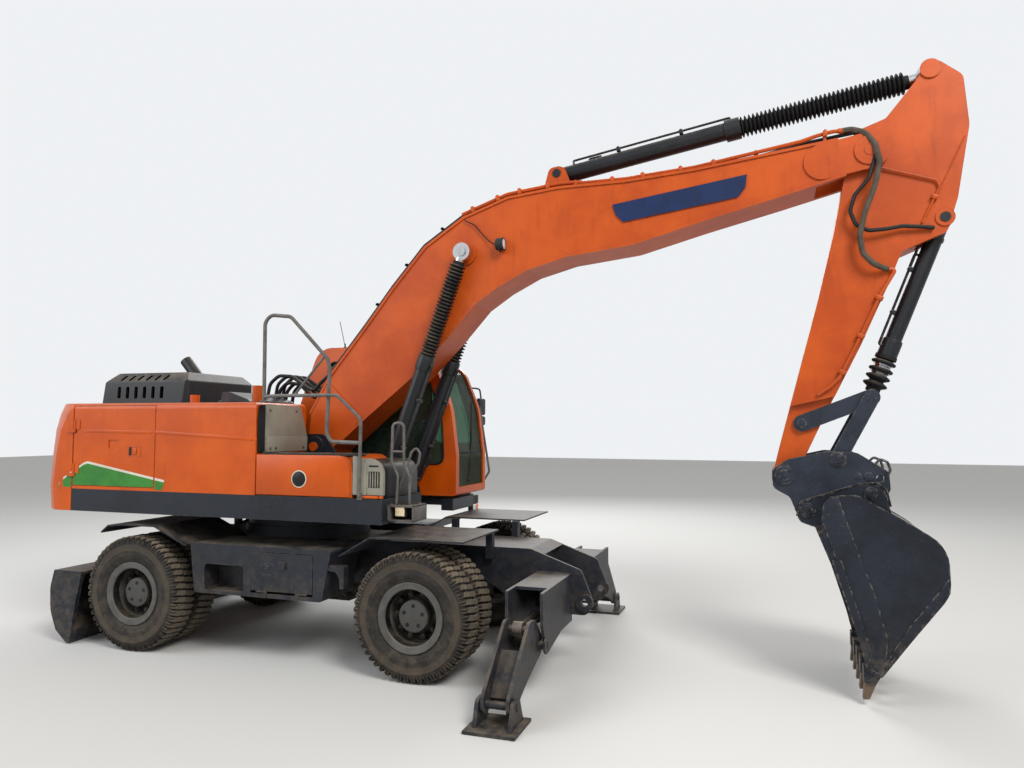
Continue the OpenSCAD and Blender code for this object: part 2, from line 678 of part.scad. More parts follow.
module platform() {
    cheek = [
        [-420, deck_z - 20, 0], [-180, 1800, 120], [120, 2010, 110], [330, 2010, 110], [600, 1600, 160],
        [830, 1505, 60], [boom_base.x + 70, 1505, 70], [boom_base.x + 105, 1340, 60], [boom_base.x, skirt_z, 0],
        [-420, skirt_z, 0]
    ];
    color("#2c3036") at_slew() difference() {
        union() {
            // skirt frame, longer below the cab
            block(weight_x, 1490, -body_half_w, -480, skirt_z, deck_z);
            block(weight_x, 640, -481, 481, skirt_z, skirt_z + 60);
            block(weight_x, 1300, 480, body_half_w, skirt_z, cab_z0 - 32);
            block(weight_x, cab_x0 - 20, 300, body_half_w, skirt_z, deck_z);
            block(weight_x, -900, -481, 481, skirt_z, deck_z);
            translate([0, 0, frame_top + 119 + pin_gap]) cylinder(r = ring_r - 30, h = skirt_z - frame_top - 110);
            both_sides() xz(240, 272) polygon(rounded(cheek));
            both_sides() pin_y(foot, 100, 271, 312);
            both_sides() xz(390, 404) polygon(rounded([
                [700, skirt_z, 0], [850, 1480, 60], [1050, 1500, 60], [1080, 1340, 50], [1020, skirt_z, 0]]));
            for (x = [1180, 1260]) block(x - 500, x - 460, -400, 400, skirt_z, skirt_z + 120);
            block(500, 760, -481, 481, skirt_z, skirt_z + 60);
            block(weight_x - panel_gap + 0.3, weight_x + 1, -600, 600, skirt_z + 20, deck_z - 20);
            // panel and headlamps below the windscreen
            block(1290, 1420, 440, 1010, cab_z0 - 152, cab_z0 - 33);
            block(1290, 1330, 1009, body_half_w, cab_z0 - 120, cab_z0 - 40);
            for (y = [body_half_w - 190, body_half_w - 100]) block(1325, 1400, y, y + 80, cab_z0 - 140, cab_z0 - 50);
            // rubber mounts below the cab
            for (x = [-300, 1150]) for (y = [560, 1100]) translate([x, y, cab_z0 - 33]) cylinder(r = 45, h = 32.7);
        }
        pin_y(foot, foot_pin_r + pin_gap, -700, 700);
        both_sides() pin_y(boom_base, 35 + pin_gap, 200, 500);
    }
}

weight_profile = [
    [0, skirt_z, 0], [tail_r - 110, skirt_z, 0], [tail_r - 30, skirt_z + 130, 0], [tail_r - 22, deck_z + 8, 0],
    [tail_r - 8, deck_z + 22, 0], [tail_r, 1800, 0], [tail_r - 18, 2080, 0], [tail_r - 60, 2240, 0],
    [tail_r - 150, hood_z, 0], [0, hood_z, 0]
];

// The weight's corners bulge round this axis: [radius, height]
corner_axis_x = -1350;
corner_profile = [
    [0, skirt_z, 0], [tail_r - 1350, skirt_z, 0], [tail_r - 1336, deck_z + 20, 0], [tail_r - 1350, 1800, 0],
    [tail_r - 1370, 2040, 0], [tail_r - 1405, 2200, 0], [tail_r - 1444, hood_z, 0], [0, hood_z, 0]
];

module counterweight() {
    corner_r = 800;
    lift_r = 27;
    color("#d9501e") at_slew() both_sides() for (z = hinge_rows) {
        block(weight_x - 60, pump_hinge.x, -body_half_w - 14, -body_half_w + 1, z - 32, z - pin_gap);
        translate([pump_hinge.x, pump_hinge.y, z - 32]) cylinder(r = 12, h = 32 - pin_gap);
    }
    color("#d9501e") at_slew() difference() {
        intersection() {
            translate([0, 0, skirt_z]) linear_extrude(hood_z - skirt_z + 100) union() {
                translate([-tail_r - 20 + corner_r, -body_half_w]) square([1000, 2 * body_half_w]);
                translate([-tail_r - 20, -body_half_w + corner_r]) square([1600, 2 * (body_half_w - corner_r)]);
                for (s = [-1, 1]) translate([-tail_r + 60 + corner_r, s * (body_half_w - corner_r)]) circle(corner_r);
            }
            rotate_extrude($fn = 96) polygon([for (p = weight_profile) [p.x, p.y]]);
            translate([corner_axis_x, 0, 0]) rotate_extrude($fn = 96) polygon([for (p = corner_profile) [p.x, p.y]]);
            house_profile(-3100, weight_x);
            block(-3000, weight_x - panel_gap, -body_half_w - 50, body_half_w + 50, 1200, 2400);
        }
        // two lifting sockets in the top
        for (y = [-600, 600]) translate([-2300, y, hood_z - 150]) cylinder(r = lift_r, h = 300);
        // hand pocket in the tail
        block(-tail_r - 10, -tail_r + 40, -160, 160, 1560, 1640);
    }
}

module engine() {
    color("#55585c") at_slew() block(-1720, -1050, -500, 620, deck_z + 0.3, 2150);
}

module body_shell() {
    t = panel_t;
    top = hood_z - t;
    color("#d9501e") at_slew() {
        // fuel tank and the side below the deck edge, right front of the engine house
        difference() {
            intersection() {
                xz(-body_half_w, -470) polygon(rounded([
                    [tank_x, deck_z + 0.3, 0], [240, deck_z + 0.3, 0], [240, hood_z, 45], [tank_x, hood_z, 0]]));
                house_profile(tank_x - 10, 300);
            }
            block(tank_x - 1, tank_x + 60, -body_half_w + 60, -460, deck_z, hood_z - 60);
        }
        // fillers and the low cover ahead of the hood
        for (p = [[-630, 80, 44], [70, 160, 46]]) translate([p.x, -1010, hood_z - 1]) cylinder(r = p.z, h = p.y);
        color("#1f2a44") xz(-720, 20) polygon(rounded([
            [-565, hood_z - 1, 0], [-560, hood_z + 118, 30], [-470, hood_z + 122, 60], [-235, hood_z + 40, 60],
            [-215, hood_z - 1, 0]]));
        // bulkhead between the engine and the boom's foot
        block(tank_x, tank_x + t, -469, 1000, deck_z + 0.3, top);
        // roof frame round the engine hood
        difference() {
            intersection() {
                block(weight_x, tank_x, -body_half_w, body_half_w, top, hood_z);
                house_profile(weight_x - 10, tank_x + 10);
            }
            block(weight_x + 60, tank_x + 1, -820, 820, top - 1, hood_z + 1);
        }
        // left rear corner box behind the cab
        intersection() {
            house_profile(tank_x - 10, 300);
            xz(820, body_half_w) polygon(rounded([
                [tank_x, deck_z + 0.3, 0], [cab_x0 - 40, deck_z + 0.3, 0], [cab_x0 - 40, hood_z, 45], [tank_x, hood_z, 0]]));
        }
        // sills and posts that frame the side doors
        for (y = [-body_half_w + 30, body_half_w - 70])
            block(weight_x, weight_x + 40, y, y + 40, deck_z + 0.3, top);
        for (y = [-body_half_w, body_half_w - 70])
            block(weight_x, tank_x, y, y + 70, deck_z + 0.3, deck_z + 30);
    }
}

module engine_cover(inset) {
    low = inset > 0 ? hood_z - 30 : hood_z + 9;
    intersection() {
        xz(-760 + inset, 300 - inset) polygon(rounded([
            [-2010 + inset, low, 0], [-1985 + inset, hood_z + 225, 30], [-1900 + inset, hood_z + 330 - inset, 30],
            [-1020 - inset, hood_z + 330 - inset, 30], [-950 - inset, hood_z + 240, 30], [-930 - inset, low, 0]]));
        yz(-2100, -800) polygon(rounded([
            [-760 + inset, low, 0], [-750 + inset, hood_z + 235, 20], [-650 + inset, hood_z + 330 - inset, 20],
            [190 - inset, hood_z + 330 - inset, 20], [290 - inset, hood_z + 235, 20], [300 - inset, low, 0]]));
        translate([0, 0, low]) linear_extrude(600) polygon(rounded([
            [-2040, -760 + inset, 0], [-930 - inset, -760 + inset, 90], [-930 - inset, 300 - inset, 90],
            [-2040, 300 - inset, 0]]));
    }
}

module engine_hood() {
    x0 = weight_x + 68;
    color("#1f2226") at_slew() difference() {
        union() {
            block(x0, hood_hinge.x - 15, -800, 800, hood_z + 0.3, hood_z + 12);
            // raised cover with its sloping shoulders
            engine_cover(0);
            pin_y(hood_hinge, 14, -700, -560);
            pin_y(hood_hinge, 14, 560, 700);
            for (y = [-700, 560]) block(hood_hinge.x - 40, hood_hinge.x, y, y + 140, hood_z + 9, hood_z + 22);
            translate([-1250, -180, hood_z + 250]) rotate([0, -42, 0]) cylinder(r = 62, h = 330);
        }
        // hollow under the cover
        engine_cover(25);
        translate([-1250, -180, hood_z + 250]) rotate([0, -42, 0]) translate([0, 0, -30]) cylinder(r = 54, h = 400);
        // slots in the right face and in the top
        for (k = [0:5]) {
            xz(-780, -700) translate([-1800 + 108 * k, 0]) polygon(rounded([
                [-22, hood_z + 60, 18], [-22, hood_z + 185, 18], [22, hood_z + 185, 18], [22, hood_z + 60, 18]]));
            xz(-780, -640) translate([-1780 + 108 * k, 0]) polygon(rounded([
                [-38, hood_z + 244, 12], [-8, hood_z + 302, 12], [30, hood_z + 302, 12], [0, hood_z + 244, 12]]));
        }
    }
}

module house_profile(x0, x1) {
    yz(x0, x1) polygon(rounded([
        [-body_half_w - 0.1, 1200, 0], [-body_half_w - 0.1, hood_z + 0.1, house_r], [body_half_w + 0.1, hood_z + 0.1, house_r],
        [body_half_w + 0.1, 1200, 0]]));
}

module side_door(x0, x1) {
    y = -body_half_w;
    color("#d9501e") difference() {
        union() {
            intersection() {
                block(x0, x1, y, y + panel_t, deck_z + 34, hood_z - panel_t - 4);
                house_profile(x0, x1);
            }
            for (z = hinge_rows) {
                translate([pump_hinge.x, pump_hinge.y, z]) cylinder(r = 12, h = 90);
                block(pump_hinge.x, pump_hinge.x + 60, y - 6, y + 5, z, z + 90);
            }
        }
        for (z = hinge_rows) block(x0 - 1, pump_hinge.x + 20, y - 10, y + 12, z - 38, z);
        block((x0 + x1) / 2 - 60, (x0 + x1) / 2 + 60, y - 1, y + 9, 1870, 1950);
    }
}

module pump_door() { at_slew() side_door(weight_x + 6, tank_x - panel_gap); }

module radiator_door() {
    at_slew() mirror([0, 1, 0]) difference() {
        side_door(weight_x + 6, tank_x - panel_gap);
        for (z = [1560:46:2150]) if (z < 1840 || z > 1940) for (x = [-1700, -1320])
            block(x, x + 330, -body_half_w - 1, -body_half_w + panel_t + 1, z, z + 16);
    }
}

module tool_box() {
    y0 = -body_half_w;
    color("#d9501e") at_slew() {
        difference() {
            xz(y0, -500) polygon(rounded([
                [248, deck_z + 0.3, 0], [1210, deck_z + 0.3, 30], [1210, box_z, 130], [248, box_z, 0]]));
            block(290, 1120, y0 + 40, -828, deck_z + 30, box_z + 1);
        }
        for (y = [y0 + 150 + pin_gap, -880 + pin_gap]) {
            block(lid_hinge.x - 8, lid_hinge.x + 8, y, y + 30, box_z - 1, lid_hinge.y);
            pin_y(lid_hinge, 8, y, y + 30);
        }
        // cover over the valves, behind the lid
        color("#9a988e") xz(-815, -500) polygon(rounded([
            [262, box_z + 0.3, 0], [790, box_z + 0.3, 20], [790, 2140, 40], [640, hood_z - 10, 50], [262, hood_z - 10, 0]]));
        // rounded end with its slots, ahead of the box
        color("#8d8c84") difference() {
            xz(y0 + 10, -560) polygon(rounded([
                [1216, deck_z + 0.3, 0], [1485, deck_z + 0.3, 0], [1485, box_z - 20, 110], [1216, box_z, 0]]));
            for (x = [1360, 1395, 1430]) block(x, x + 16, y0 + 5, y0 + 60, 1560, 1700);
        }
    }
}

module tool_box_lid() {
    y0 = -body_half_w;
    color("#1f2226") at_slew() union() {
        block(292, 1118, y0 + 42, -830, box_z - 8, box_z + 8);
        for (y = [y0 + 50, -980]) {
            pin_y(lid_hinge, 8, y, y + 100);
            block(lid_hinge.x, 300, y, y + 100, box_z + 1, box_z + 8);
        }
    }
}

// Bent tube through a list of points, eight-sided
module tube(points, r) {
    $fn = 8;
    for (i = [0:len(points) - 2]) {
        p = points[i];
        d = points[i + 1] - p;
        translate(p) rotate([0, acos(d.z / norm(d)), atan2(d.y, d.x)]) cylinder(r = r, h = norm(d));
    }
    for (i = [1:len(points) - 2]) translate(points[i]) sphere(r = r * 1.04);
}

module handrails() {
    y = -body_half_w + 19;
    side = -body_half_w - 18;
    color("#25282c") at_slew() {
        tube([[180, y, hood_z + 0.3], [180, y, hood_z + 620], [300, y, hood_z + 660], [440, y, hood_z + 660],
              [900, y, hood_z + 290], [900, y, box_z + 160], [950, y, box_z + 100], [1190, side, box_z + 100]], 15);
        tube([[180, y, hood_z + 60], [330, side, hood_z + 20], [940, side, hood_z + 20],
              [1180, side, hood_z - 190], [1190, side, deck_z + 40], [1190, -body_half_w - 0.3, deck_z + 40]], 14);
        // lamp in the step bracket
        block(1555, 1700, y + 121, y + 181, deck_z - 150, deck_z - 49);
        // grab rail and mirrors at the cab's left front
        tube([[1290, cab_y1 + 0.3, 2330], [1290, cab_y1 + 70, 2330], [1330, cab_y1 + 100, 2400], [1480, cab_y1 + 100, 1580],
              [1420, cab_y1 + 70, 1470], [1420, cab_y1 + 0.3, 1470]], 13);
        tube([[1210, cab_y1 + 0.3, 2480], [1210, cab_y1 + 60, 2480], [1250, cab_y1 + 120, 2540], [1330, cab_y1 + 170, 2520],
              [1345, cab_y1 + 180, 2410]], 10);
        for (row = [[2230, 190], [2110, 105]])
            block(1325, 1362, cab_y1 + 95, cab_y1 + 265, row.x, row.x + row.y);
        block(1338, 1350, cab_y1 + 172, cab_y1 + 188, 2205, 2240);
        // step rails on their bracket ahead of the right side
        for (x = [1565, 1700]) tube([[x, y + 141, deck_z - 60], [x - 40, y + 141, deck_z + 60],
            [x - 60, y + 141, deck_z + 460], [x - 60, y + 281, deck_z + 460], [x - 40, y + 281, deck_z + 60],
            [x, y + 281, deck_z - 60]], 14);
        difference() {
            block(1490.3, 1770, y + 81, y + 341, deck_z - 200, deck_z - 50);
            block(1500, 1720, y + 71, y + 351, deck_z - 180, deck_z - 70);
        }
    }
}

// Cab seen from the side, with a rounded front and a leaning upper rear wall
module cab_outline(y0, y1, inset) {
    front = cab_x1 - inset;
    xz(y0, y1) polygon(rounded([
        [cab_x0 + inset, cab_z0 + inset, 40], [cab_x0 + inset, 2250 - inset * 0.18, 150],
        [cab_x0 + 260 + inset * 0.7, cab_z1 - inset, 220], [660, cab_z1 - inset, 500],
        [1010 - inset * 0.7, 2855 - inset, 300], [1230 - inset, 2700 - inset * 0.4, 200],
        [1400 - inset, 2300, 600], [front, 1800, 300], [front, cab_z0 + inset, 30]]));
}

module window(y0, y1, rows) { xz(y0, y1) polygon(rounded(rows)); }

right_window = [
    [-60, 1700, 60], [-60, 2790, 90], [780, 2790, 150], [1140, 2600, 120], [1300, 2200, 300], [1330, 1700, 60]
];
rear_window = [[cab_y0 + 110, 2330, 60], [cab_y0 + 110, 2790, 60], [cab_y1 - 110, 2790, 60], [cab_y1 - 110, 2330, 60]];
door_rows = [
    [-375, 1450, 40], [-375, 2235, 100], [-147, 2850, 90], [600, 2850, 120], [760, 2300, 200], [760, 1450, 60]
];
quarter_rows = [
    [830, 1900, 50], [775, 2600, 90], [840, 2750, 60], [1130, 2590, 60], [1260, 2200, 200], [1315, 1900, 50]
];

module cab_shell() {
    color("#d9501e") at_slew() for (z = door_hinge_rows) {
        translate([cab_hinge.x, cab_hinge.y, z - 30]) cylinder(r = 11, h = 30 - pin_gap);
        block(cab_hinge.x - 11, cab_hinge.x + 11, cab_y1 - 1, cab_hinge.y, z - 30, z - pin_gap);
    }
    color("#d9501e") at_slew() difference() {
        cab_outline(cab_y0, cab_y1, 0);
        cab_outline(cab_y0 + cab_t, cab_y1 - cab_t, cab_t);
        // right window, door opening and front side window
        window(cab_y0 - 1, cab_y0 + cab_t + 1, right_window);
        window(cab_y1 - cab_t - 1, cab_y1 + 1, door_rows);
        window(cab_y1 - cab_t - 1, cab_y1 + 1, quarter_rows);
        // windscreen between the front posts, from the floor to the roof
        block(1040, cab_x1 + 10, cab_y0 + 85, cab_y1 - 60, 1460, 2900);
        // rear window
        yz(cab_x0 - 1, 40) polygon(rounded(rear_window));
        // roof hatch
        block(100, 700, cab_y0 + 200, cab_y1 - 200, cab_z1 - cab_t - 1, cab_z1 + 1);
    }
}

module cab_glass() {
    g = 6;
    inner = 22;
    color("#5b7468", 0.6) at_slew() {
        intersection() {
            window(cab_y0 + inner, cab_y0 + inner + g, [
                [-59.7, 1700.3, 60], [-59.7, 2789.7, 90], [779.9, 2789.7, 150], [1139.8, 2599.8, 120], [1299.7, 2200, 300],
                [1329.7, 1700.3, 60]]);
            block(-2000, 2000, -2000, 2000, 0, 4000);
        }
        difference() {
            intersection() {
                cab_outline(cab_y0 + 85.3, cab_y1 - 60.3, 18);
                block(1040.3, cab_x1 + 10, 0, 2000, 1460.3, 2900);
            }
            cab_outline(cab_y0, cab_y1, 18 + g);
        }
        difference() {
            intersection() {
                cab_outline(cab_y0 + 85.3, cab_y1 - 60.3, 18);
                yz(cab_x0 - 1, 40) polygon(rounded([
                    [cab_y0 + 110.3, 2330.3, 60], [cab_y0 + 110.3, 2789.7, 60], [cab_y1 - 110.3, 2789.7, 60],
                    [cab_y1 - 110.3, 2330.3, 60]]));
            }
            cab_outline(cab_y0, cab_y1, 18 + g);
        }
        window(cab_y1 - inner - g, cab_y1 - inner, [
            [830.3, 1900.3, 50], [775.3, 2600, 90], [840.2, 2749.6, 60], [1129.8, 2589.8, 60], [1259.7, 2200, 200],
            [1314.7, 1900.3, 50]]);
        block(100.3, 699.7, cab_y0 + 200.3, cab_y1 - 200.3, cab_z1 - 30, cab_z1 - 22);
    }
}

module cab_door() {
    gap = 7;
    color("#d9501e") at_slew() {
        difference() {
            union() {
                window(cab_y1 - cab_t, cab_y1, [
                    [-375 + gap, 1450 + gap, 36], [-375 + gap, 2234, 100], [-147 + gap * 0.7, 2850 - gap, 84], [600 - gap, 2850 - gap, 114],
                    [760 - gap, 2300, 194], [760 - gap, 1450 + gap, 54]]);
                for (z = door_hinge_rows) {
                    translate([cab_hinge.x, cab_hinge.y, z]) cylinder(r = 11, h = 90);
                    block(cab_hinge.x, cab_hinge.x + 70, cab_y1 + 0.3, cab_y1 + 11, z, z + 90);
                    block(-360, cab_hinge.x + 70, cab_y1 - 1, cab_y1 + 11, z, z + 90);
                }
            }
            window(cab_y1 - cab_t - 1, cab_y1 + 1, [
                [-290, 2080, 50], [-290, 2235, 60], [-95, 2780, 60], [540, 2780, 90], [690, 2280, 150], [690, 2080, 50]]);
            window(cab_y1 - cab_t - 1, cab_y1 - 18, [
                [-290, 1530, 50], [-290, 2000, 50], [690, 2000, 50], [690, 1530, 50]]);
        }
        color("#5b7468", 0.6) window(cab_y1 - 30, cab_y1 - 24, [
            [-289.7, 2080.3, 50], [-289.7, 2235, 60], [-94.8, 2779.7, 60], [539.7, 2779.7, 90], [689.6, 2280, 150],
            [689.7, 2080.3, 50]]);
    }
}

module cab_interior() {
    y = (cab_y0 + cab_y1) / 2;
    color("#2a2c2f") at_slew() {
        // seat on its box
        block(60, 560, y - 225, y + 225, cab_z0 + cab_t + 0.3, 1760);
        xz(y - 222, y + 222) polygon(rounded([
            [60, 1759, 0], [60, 1860, 40], [600, 1900, 50], [620, 1800, 40], [560, 1759, 0]]));
        xz(y - 215, y + 215) polygon(rounded([
            [40, 1840, 30], [-110, 2540, 60], [10, 2560, 60], [190, 1860, 40]]));
        // side consoles with their levers
        for (s = [-1, 1]) {
            xz(y + s * 300 - 62, y + s * 300 + 62) polygon(rounded([
                [40, cab_z0 + cab_t + 0.3, 0], [40, 2040, 30], [560, 2060, 60], [560, 1960, 40], [360, cab_z0 + cab_t + 0.3, 0]]));
            translate([500, y + s * 300, 2040]) cylinder(r = 16, h = 130);
            translate([500, y + s * 300, 2165]) sphere(r = 34);
        }
        // steering column and wheel
        translate([980, y, cab_z0 + cab_t + 0.3]) rotate([0, -18, 0]) {
            translate([0, 0, 40]) cylinder(r = 40, h = 640);
            translate([0, 0, 680]) rotate_extrude() translate([185, 0]) circle(14);
            for (a = [0, 120, 240]) rotate([0, 0, a]) translate([0, -14, 670]) cube([186, 28, 16]);
        }
        block(880, 1080, y - 80, y + 80, cab_z0 + cab_t + 0.3, cab_z0 + cab_t + 120);
    }
}

// Boom

// Stations along the boom: [x, z, depth across the boom]
boom_stations = [
    [300, 2075, 470], [560, 2390, 610], [1010, 2830, 740], [1330, 3190, 790], [1640, 3540, 800], [1960, 3750, 790],
    [2330, 3900, 740], [2760, 3975, 670], [3380, 4010, 600], [4000, 4115, 480], [4640, 4230, 400], [5150, 4325, 330]
];

function across(i) =
    let (a = boom_stations[max(i - 1, 0)], b = boom_stations[min(i + 1, len(boom_stations) - 1)],
         d = unit([b.x - a.x, b.y - a.y]))
    [-d.y, d.x];

function boom_edge(sign, less) =
    [for (i = [0:len(boom_stations) - 1]) let (s = boom_stations[i])
        [s.x, s.y] + across(i) * sign * (s.z / 2 - less)];

function reversed(v) = [for (i = [len(v) - 1:-1:0]) v[i]];

function foot_end(sign, t) = boom_edge(sign, 30)[0] * (1 - t) + boom_edge(sign, 30)[1] * t;

module boom_outline(less) { polygon(concat(boom_edge(1, less), reversed(boom_edge(-1, less)))); }

module boom() {
    w = boom_half_w;
    fork = arm_half_w + 12;
    color("#d9501e") at_slew() difference() {
        union() {
            difference() {
                xz(-w, w) boom_outline(0);
                both_sides() xz(w - boom_inset, w + 1) boom_outline(24);
                // room for the arm between the tip's fork plates
                xz(-fork, fork) polygon([[4925, 3900], [4970, 4300], [5010, 4700], [5800, 4700], [5800, 3900]]);
            }
            xz(-w, w) hull() {
                translate(foot) circle(120, $fn = 32);
                polygon([foot_end(1, 0), foot_end(-1, 0), foot_end(1, 0.88), foot_end(-1, 0.88)]);
            }
            pin_y(foot, 135, -w - 4, w + 4);
            // fork plates round the tip pin
            both_sides() xz(fork, w) hull() {
                translate(tip) circle(150, $fn = 32);
                translate([5000, 4300]) circle(150, $fn = 32);
            }
            both_sides() pin_y(tip, 120, w - 1, w + 14);
            // work lamp on the right side
            xz(-w - 14, -w + boom_inset + 4) translate([2137, 3796]) circle(30);
            translate([2137, -w - 40, 3796]) rotate([0, 80, 0]) cylinder(r = 52, h = 70);
            // bosses of the boom cylinders' pins
            both_sides() pin_y(boom_eye, 105, w - 20, w + 12);
            // ears of the arm cylinder's base
            both_sides() xz(86, 116) polygon(rounded([
                [arm_base.x - 160, 4200, 0], [arm_base.x - 70, arm_base.y + 60, 60],
                [arm_base.x + 70, arm_base.y + 60, 60], [arm_base.x + 190, 4220, 0]]));
        }
        pin_y(foot, foot_pin_r + pin_gap, -400, 400);
        pin_y(arm_base, 40 + pin_gap, -200, 200);
        pin_y(tip, foot_pin_r + pin_gap, -400, 400);
    }
    color("#8a8d90") at_slew() pin_y(foot, foot_pin_r, -330, 330);
}

module boom_lines() {
    w = boom_half_w;
    top = boom_edge(1, -34);
    color("#d9501e") at_slew() {
        for (y = [-150, 150]) tube([for (i = [5:10]) [top[i].x, y, top[i].y]], 17);
        for (y = [-195, 195]) tube([for (i = [5:7]) [top[i].x, y, top[i].y]], 17);
        for (i = [5:10]) for (y = [-150, 150])
            translate([top[i].x, y, top[i].y]) rotate([0, 90, 0]) cylinder(r = 24, h = 40, center = true, $fn = 8);
        for (i = [5:10]) for (y = i < 8 ? [-195, -150, 150, 195] : [-150, 150])
            translate([top[i].x, y, top[i].y]) rotate([0, atan2(-across(i).x, -across(i).y), 0])
                cylinder(r = 8, h = 33.3, $fn = 8);
    }
}

boom_len = norm(boom_eye - boom_base);
boom_barrel_len = 1420;

module boom_barrels() {
    color("#25282c") at_slew() both_sides() {
        difference() {
            aim(boom_base, boom_eye, boom_cyl_y) {
                translate([0, 0, 150]) cylinder(r = boom_cyl_r, h = boom_barrel_len - 150);
                translate([0, 0, 50]) cylinder(r = 36, h = 101);
                translate([0, 0, boom_barrel_len - 110]) cylinder(r = boom_cyl_r + 10, h = 110);
            }
            aim(boom_base, boom_eye, boom_cyl_y) translate([0, 0, 170])
                cylinder(r = boom_rod_r + pin_gap, h = boom_barrel_len);
        }
        pin_y(boom_base, 70, boom_cyl_y - 38, boom_cyl_y + 38);
        pin_y(boom_base, 35, 236, 405);
    }
}

module boom_rods() {
    color("#c8cacc") at_slew() both_sides() {
        aim(boom_base, boom_eye, boom_cyl_y) translate([0, 0, 955]) cylinder(r = boom_rod_r, h = boom_len - 1015);
        pin_y(boom_eye, 84, boom_cyl_y - 38, boom_cyl_y + 38);
        pin_y(boom_eye, 45, boom_half_w + 18, boom_cyl_y + 58);
    }
}

// Pleated boot between two lengths along its cylinder
module boot(z0, z1, rod_r, outer_r, pleats) {
    pitch = (z1 - z0) / pleats;
    difference() {
        rotate_extrude($fn = 32) polygon(concat(
            [[rod_r, z0]],
            [for (k = [0:pleats - 1]) each [[outer_r - 24, z0 + pitch * k], [outer_r, z0 + pitch * (k + 0.5)]]],
            [[outer_r - 24, z1], [rod_r, z1]]));
    }
}

module boom_boots() {
    color("#151617") at_slew() both_sides() aim(boom_base, boom_eye, boom_cyl_y)
        boot(boom_barrel_len + 0.3, boom_len - 92, boom_rod_r + 4, boom_cyl_r + 12, 18);
}

arm_len = norm(arm_eye - arm_base);
arm_barrel_len = 1680;

module arm_barrel() {
    color("#25282c") at_slew() {
        difference() {
            aim(arm_base, arm_eye) {
                translate([0, 0, 60]) cylinder(r = arm_cyl_r, h = arm_barrel_len - 60);
                translate([0, 0, arm_barrel_len - 130]) cylinder(r = arm_cyl_r + 18, h = 130);
            }
            aim(arm_base, arm_eye) translate([0, 0, 120]) cylinder(r = arm_rod_r + pin_gap, h = arm_barrel_len);
        }
        pin_y(arm_base, 80, -70, 70);
        pin_y(arm_base, 40, -124, 124);
    }
}

module arm_rod() {
    color("#c8cacc") at_slew() {
        aim(arm_base, arm_eye) translate([0, 0, 1300]) cylinder(r = arm_rod_r, h = arm_len - 1370);
        pin_y(arm_eye, 88, -60, 60);
        pin_y(arm_eye, 45, -90, 90);
    }
}

module arm_boot() {
    color("#151617") at_slew() aim(arm_base, arm_eye)
        boot(arm_barrel_len + 0.3, arm_len - 140, arm_rod_r + 4, arm_cyl_r + boot_over - 4, 24);
}

// Arm outline, from its pin in the boom's tip
arm_rows = [
    [490, 735, 70], [700, 560, 90], [735, 150, 200], [640, -430, 120], [560, -700, 60], [225, -840, 60],
    [120, -1110, 0], [-95, -1600, 0], [-340, -2100, 0], [-540, -2530, 120], [-640, -2790, 60], [-810, -2740, 60],
    [-730, -2420, 0], [-410, -1200, 0], [-280, -650, 0], [-190, -180, 100], [-120, 180, 120], [130, 270, 60],
    [330, 520, 60]
];

module arm() {
    w = arm_half_w;
    slot = 96;
    color("#d9501e") at_slew() difference() {
        union() {
            xz(-w, w) polygon(rounded(moved(arm_rows, tip)));
            pin_y(tip, 150, -w - 8, w + 8);
            pin_y(tip, foot_pin_r, -boom_half_w - 18, boom_half_w + 18);
            both_sides() pin_y(arm_eye, 78, w - 1, w + 16);
            both_sides() pin_y(bucket_base, 72, w - 1, w + 12);
            pin_y(arm_end, 95, -w, w);
        }
        // gap for the arm cylinder's rod
        xz(-slot, slot) polygon(shifted([
            [130, 900, 0], [255, 560, 0], [290, 400, 0], [900, 400, 0], [900, 900, 0]], tip));
        // gap for the bucket cylinder's foot
        xz(-slot, slot) polygon(shifted([
            [400, -440, 0], [330, -900, 0], [900, -900, 0], [900, -440, 0]], tip));
        // narrower lower end
        both_sides() xz(112, w + 30) polygon(shifted([
            [-900, -2150, 0], [-200, -1990, 0], [-200, -2900, 0], [-1000, -2900, 0]], tip));
        pin_y(bucket_base, 40 + pin_gap, -300, 300);
        pin_y(rocker_pin, 35 + pin_gap, -300, 300);
        pin_y(arm_end, bucket_pin_r + pin_gap, -300, 300);
    }
}

module arm_lines() {
    w = arm_half_w;
    path = [[250, -760, 0], [60, -1180, 0], [-150, -1640, 0]];
    color("#d9501e") at_slew() for (s = [-1, 1]) {
        tube([for (p = path) [tip.x + p.x, s * (w + 30), tip.y + p.y]], 15);
        for (p = path) translate([tip.x + p.x - 20, s * (w + 15) - 14.7, tip.y + p.y - 20]) cube([40, 29.4, 40]);
    }
}

bucket_len = norm(bucket_eye - bucket_base);
bucket_barrel_len = 1170;

module bucket_barrel() {
    color("#25282c") at_slew() {
        difference() {
            aim(bucket_base, bucket_eye) {
                translate([0, 0, 55]) cylinder(r = bucket_cyl_r, h = bucket_barrel_len - 55);
                translate([0, 0, bucket_barrel_len - 120]) cylinder(r = bucket_cyl_r + 14, h = 120);
            }
            aim(bucket_base, bucket_eye) translate([0, 0, 60]) cylinder(r = bucket_rod_r + pin_gap, h = bucket_barrel_len);
        }
        pin_y(bucket_base, 70, -70, 70);
        pin_y(bucket_base, 40, -w_pin, w_pin);
    }
}

w_pin = arm_half_w + 18;

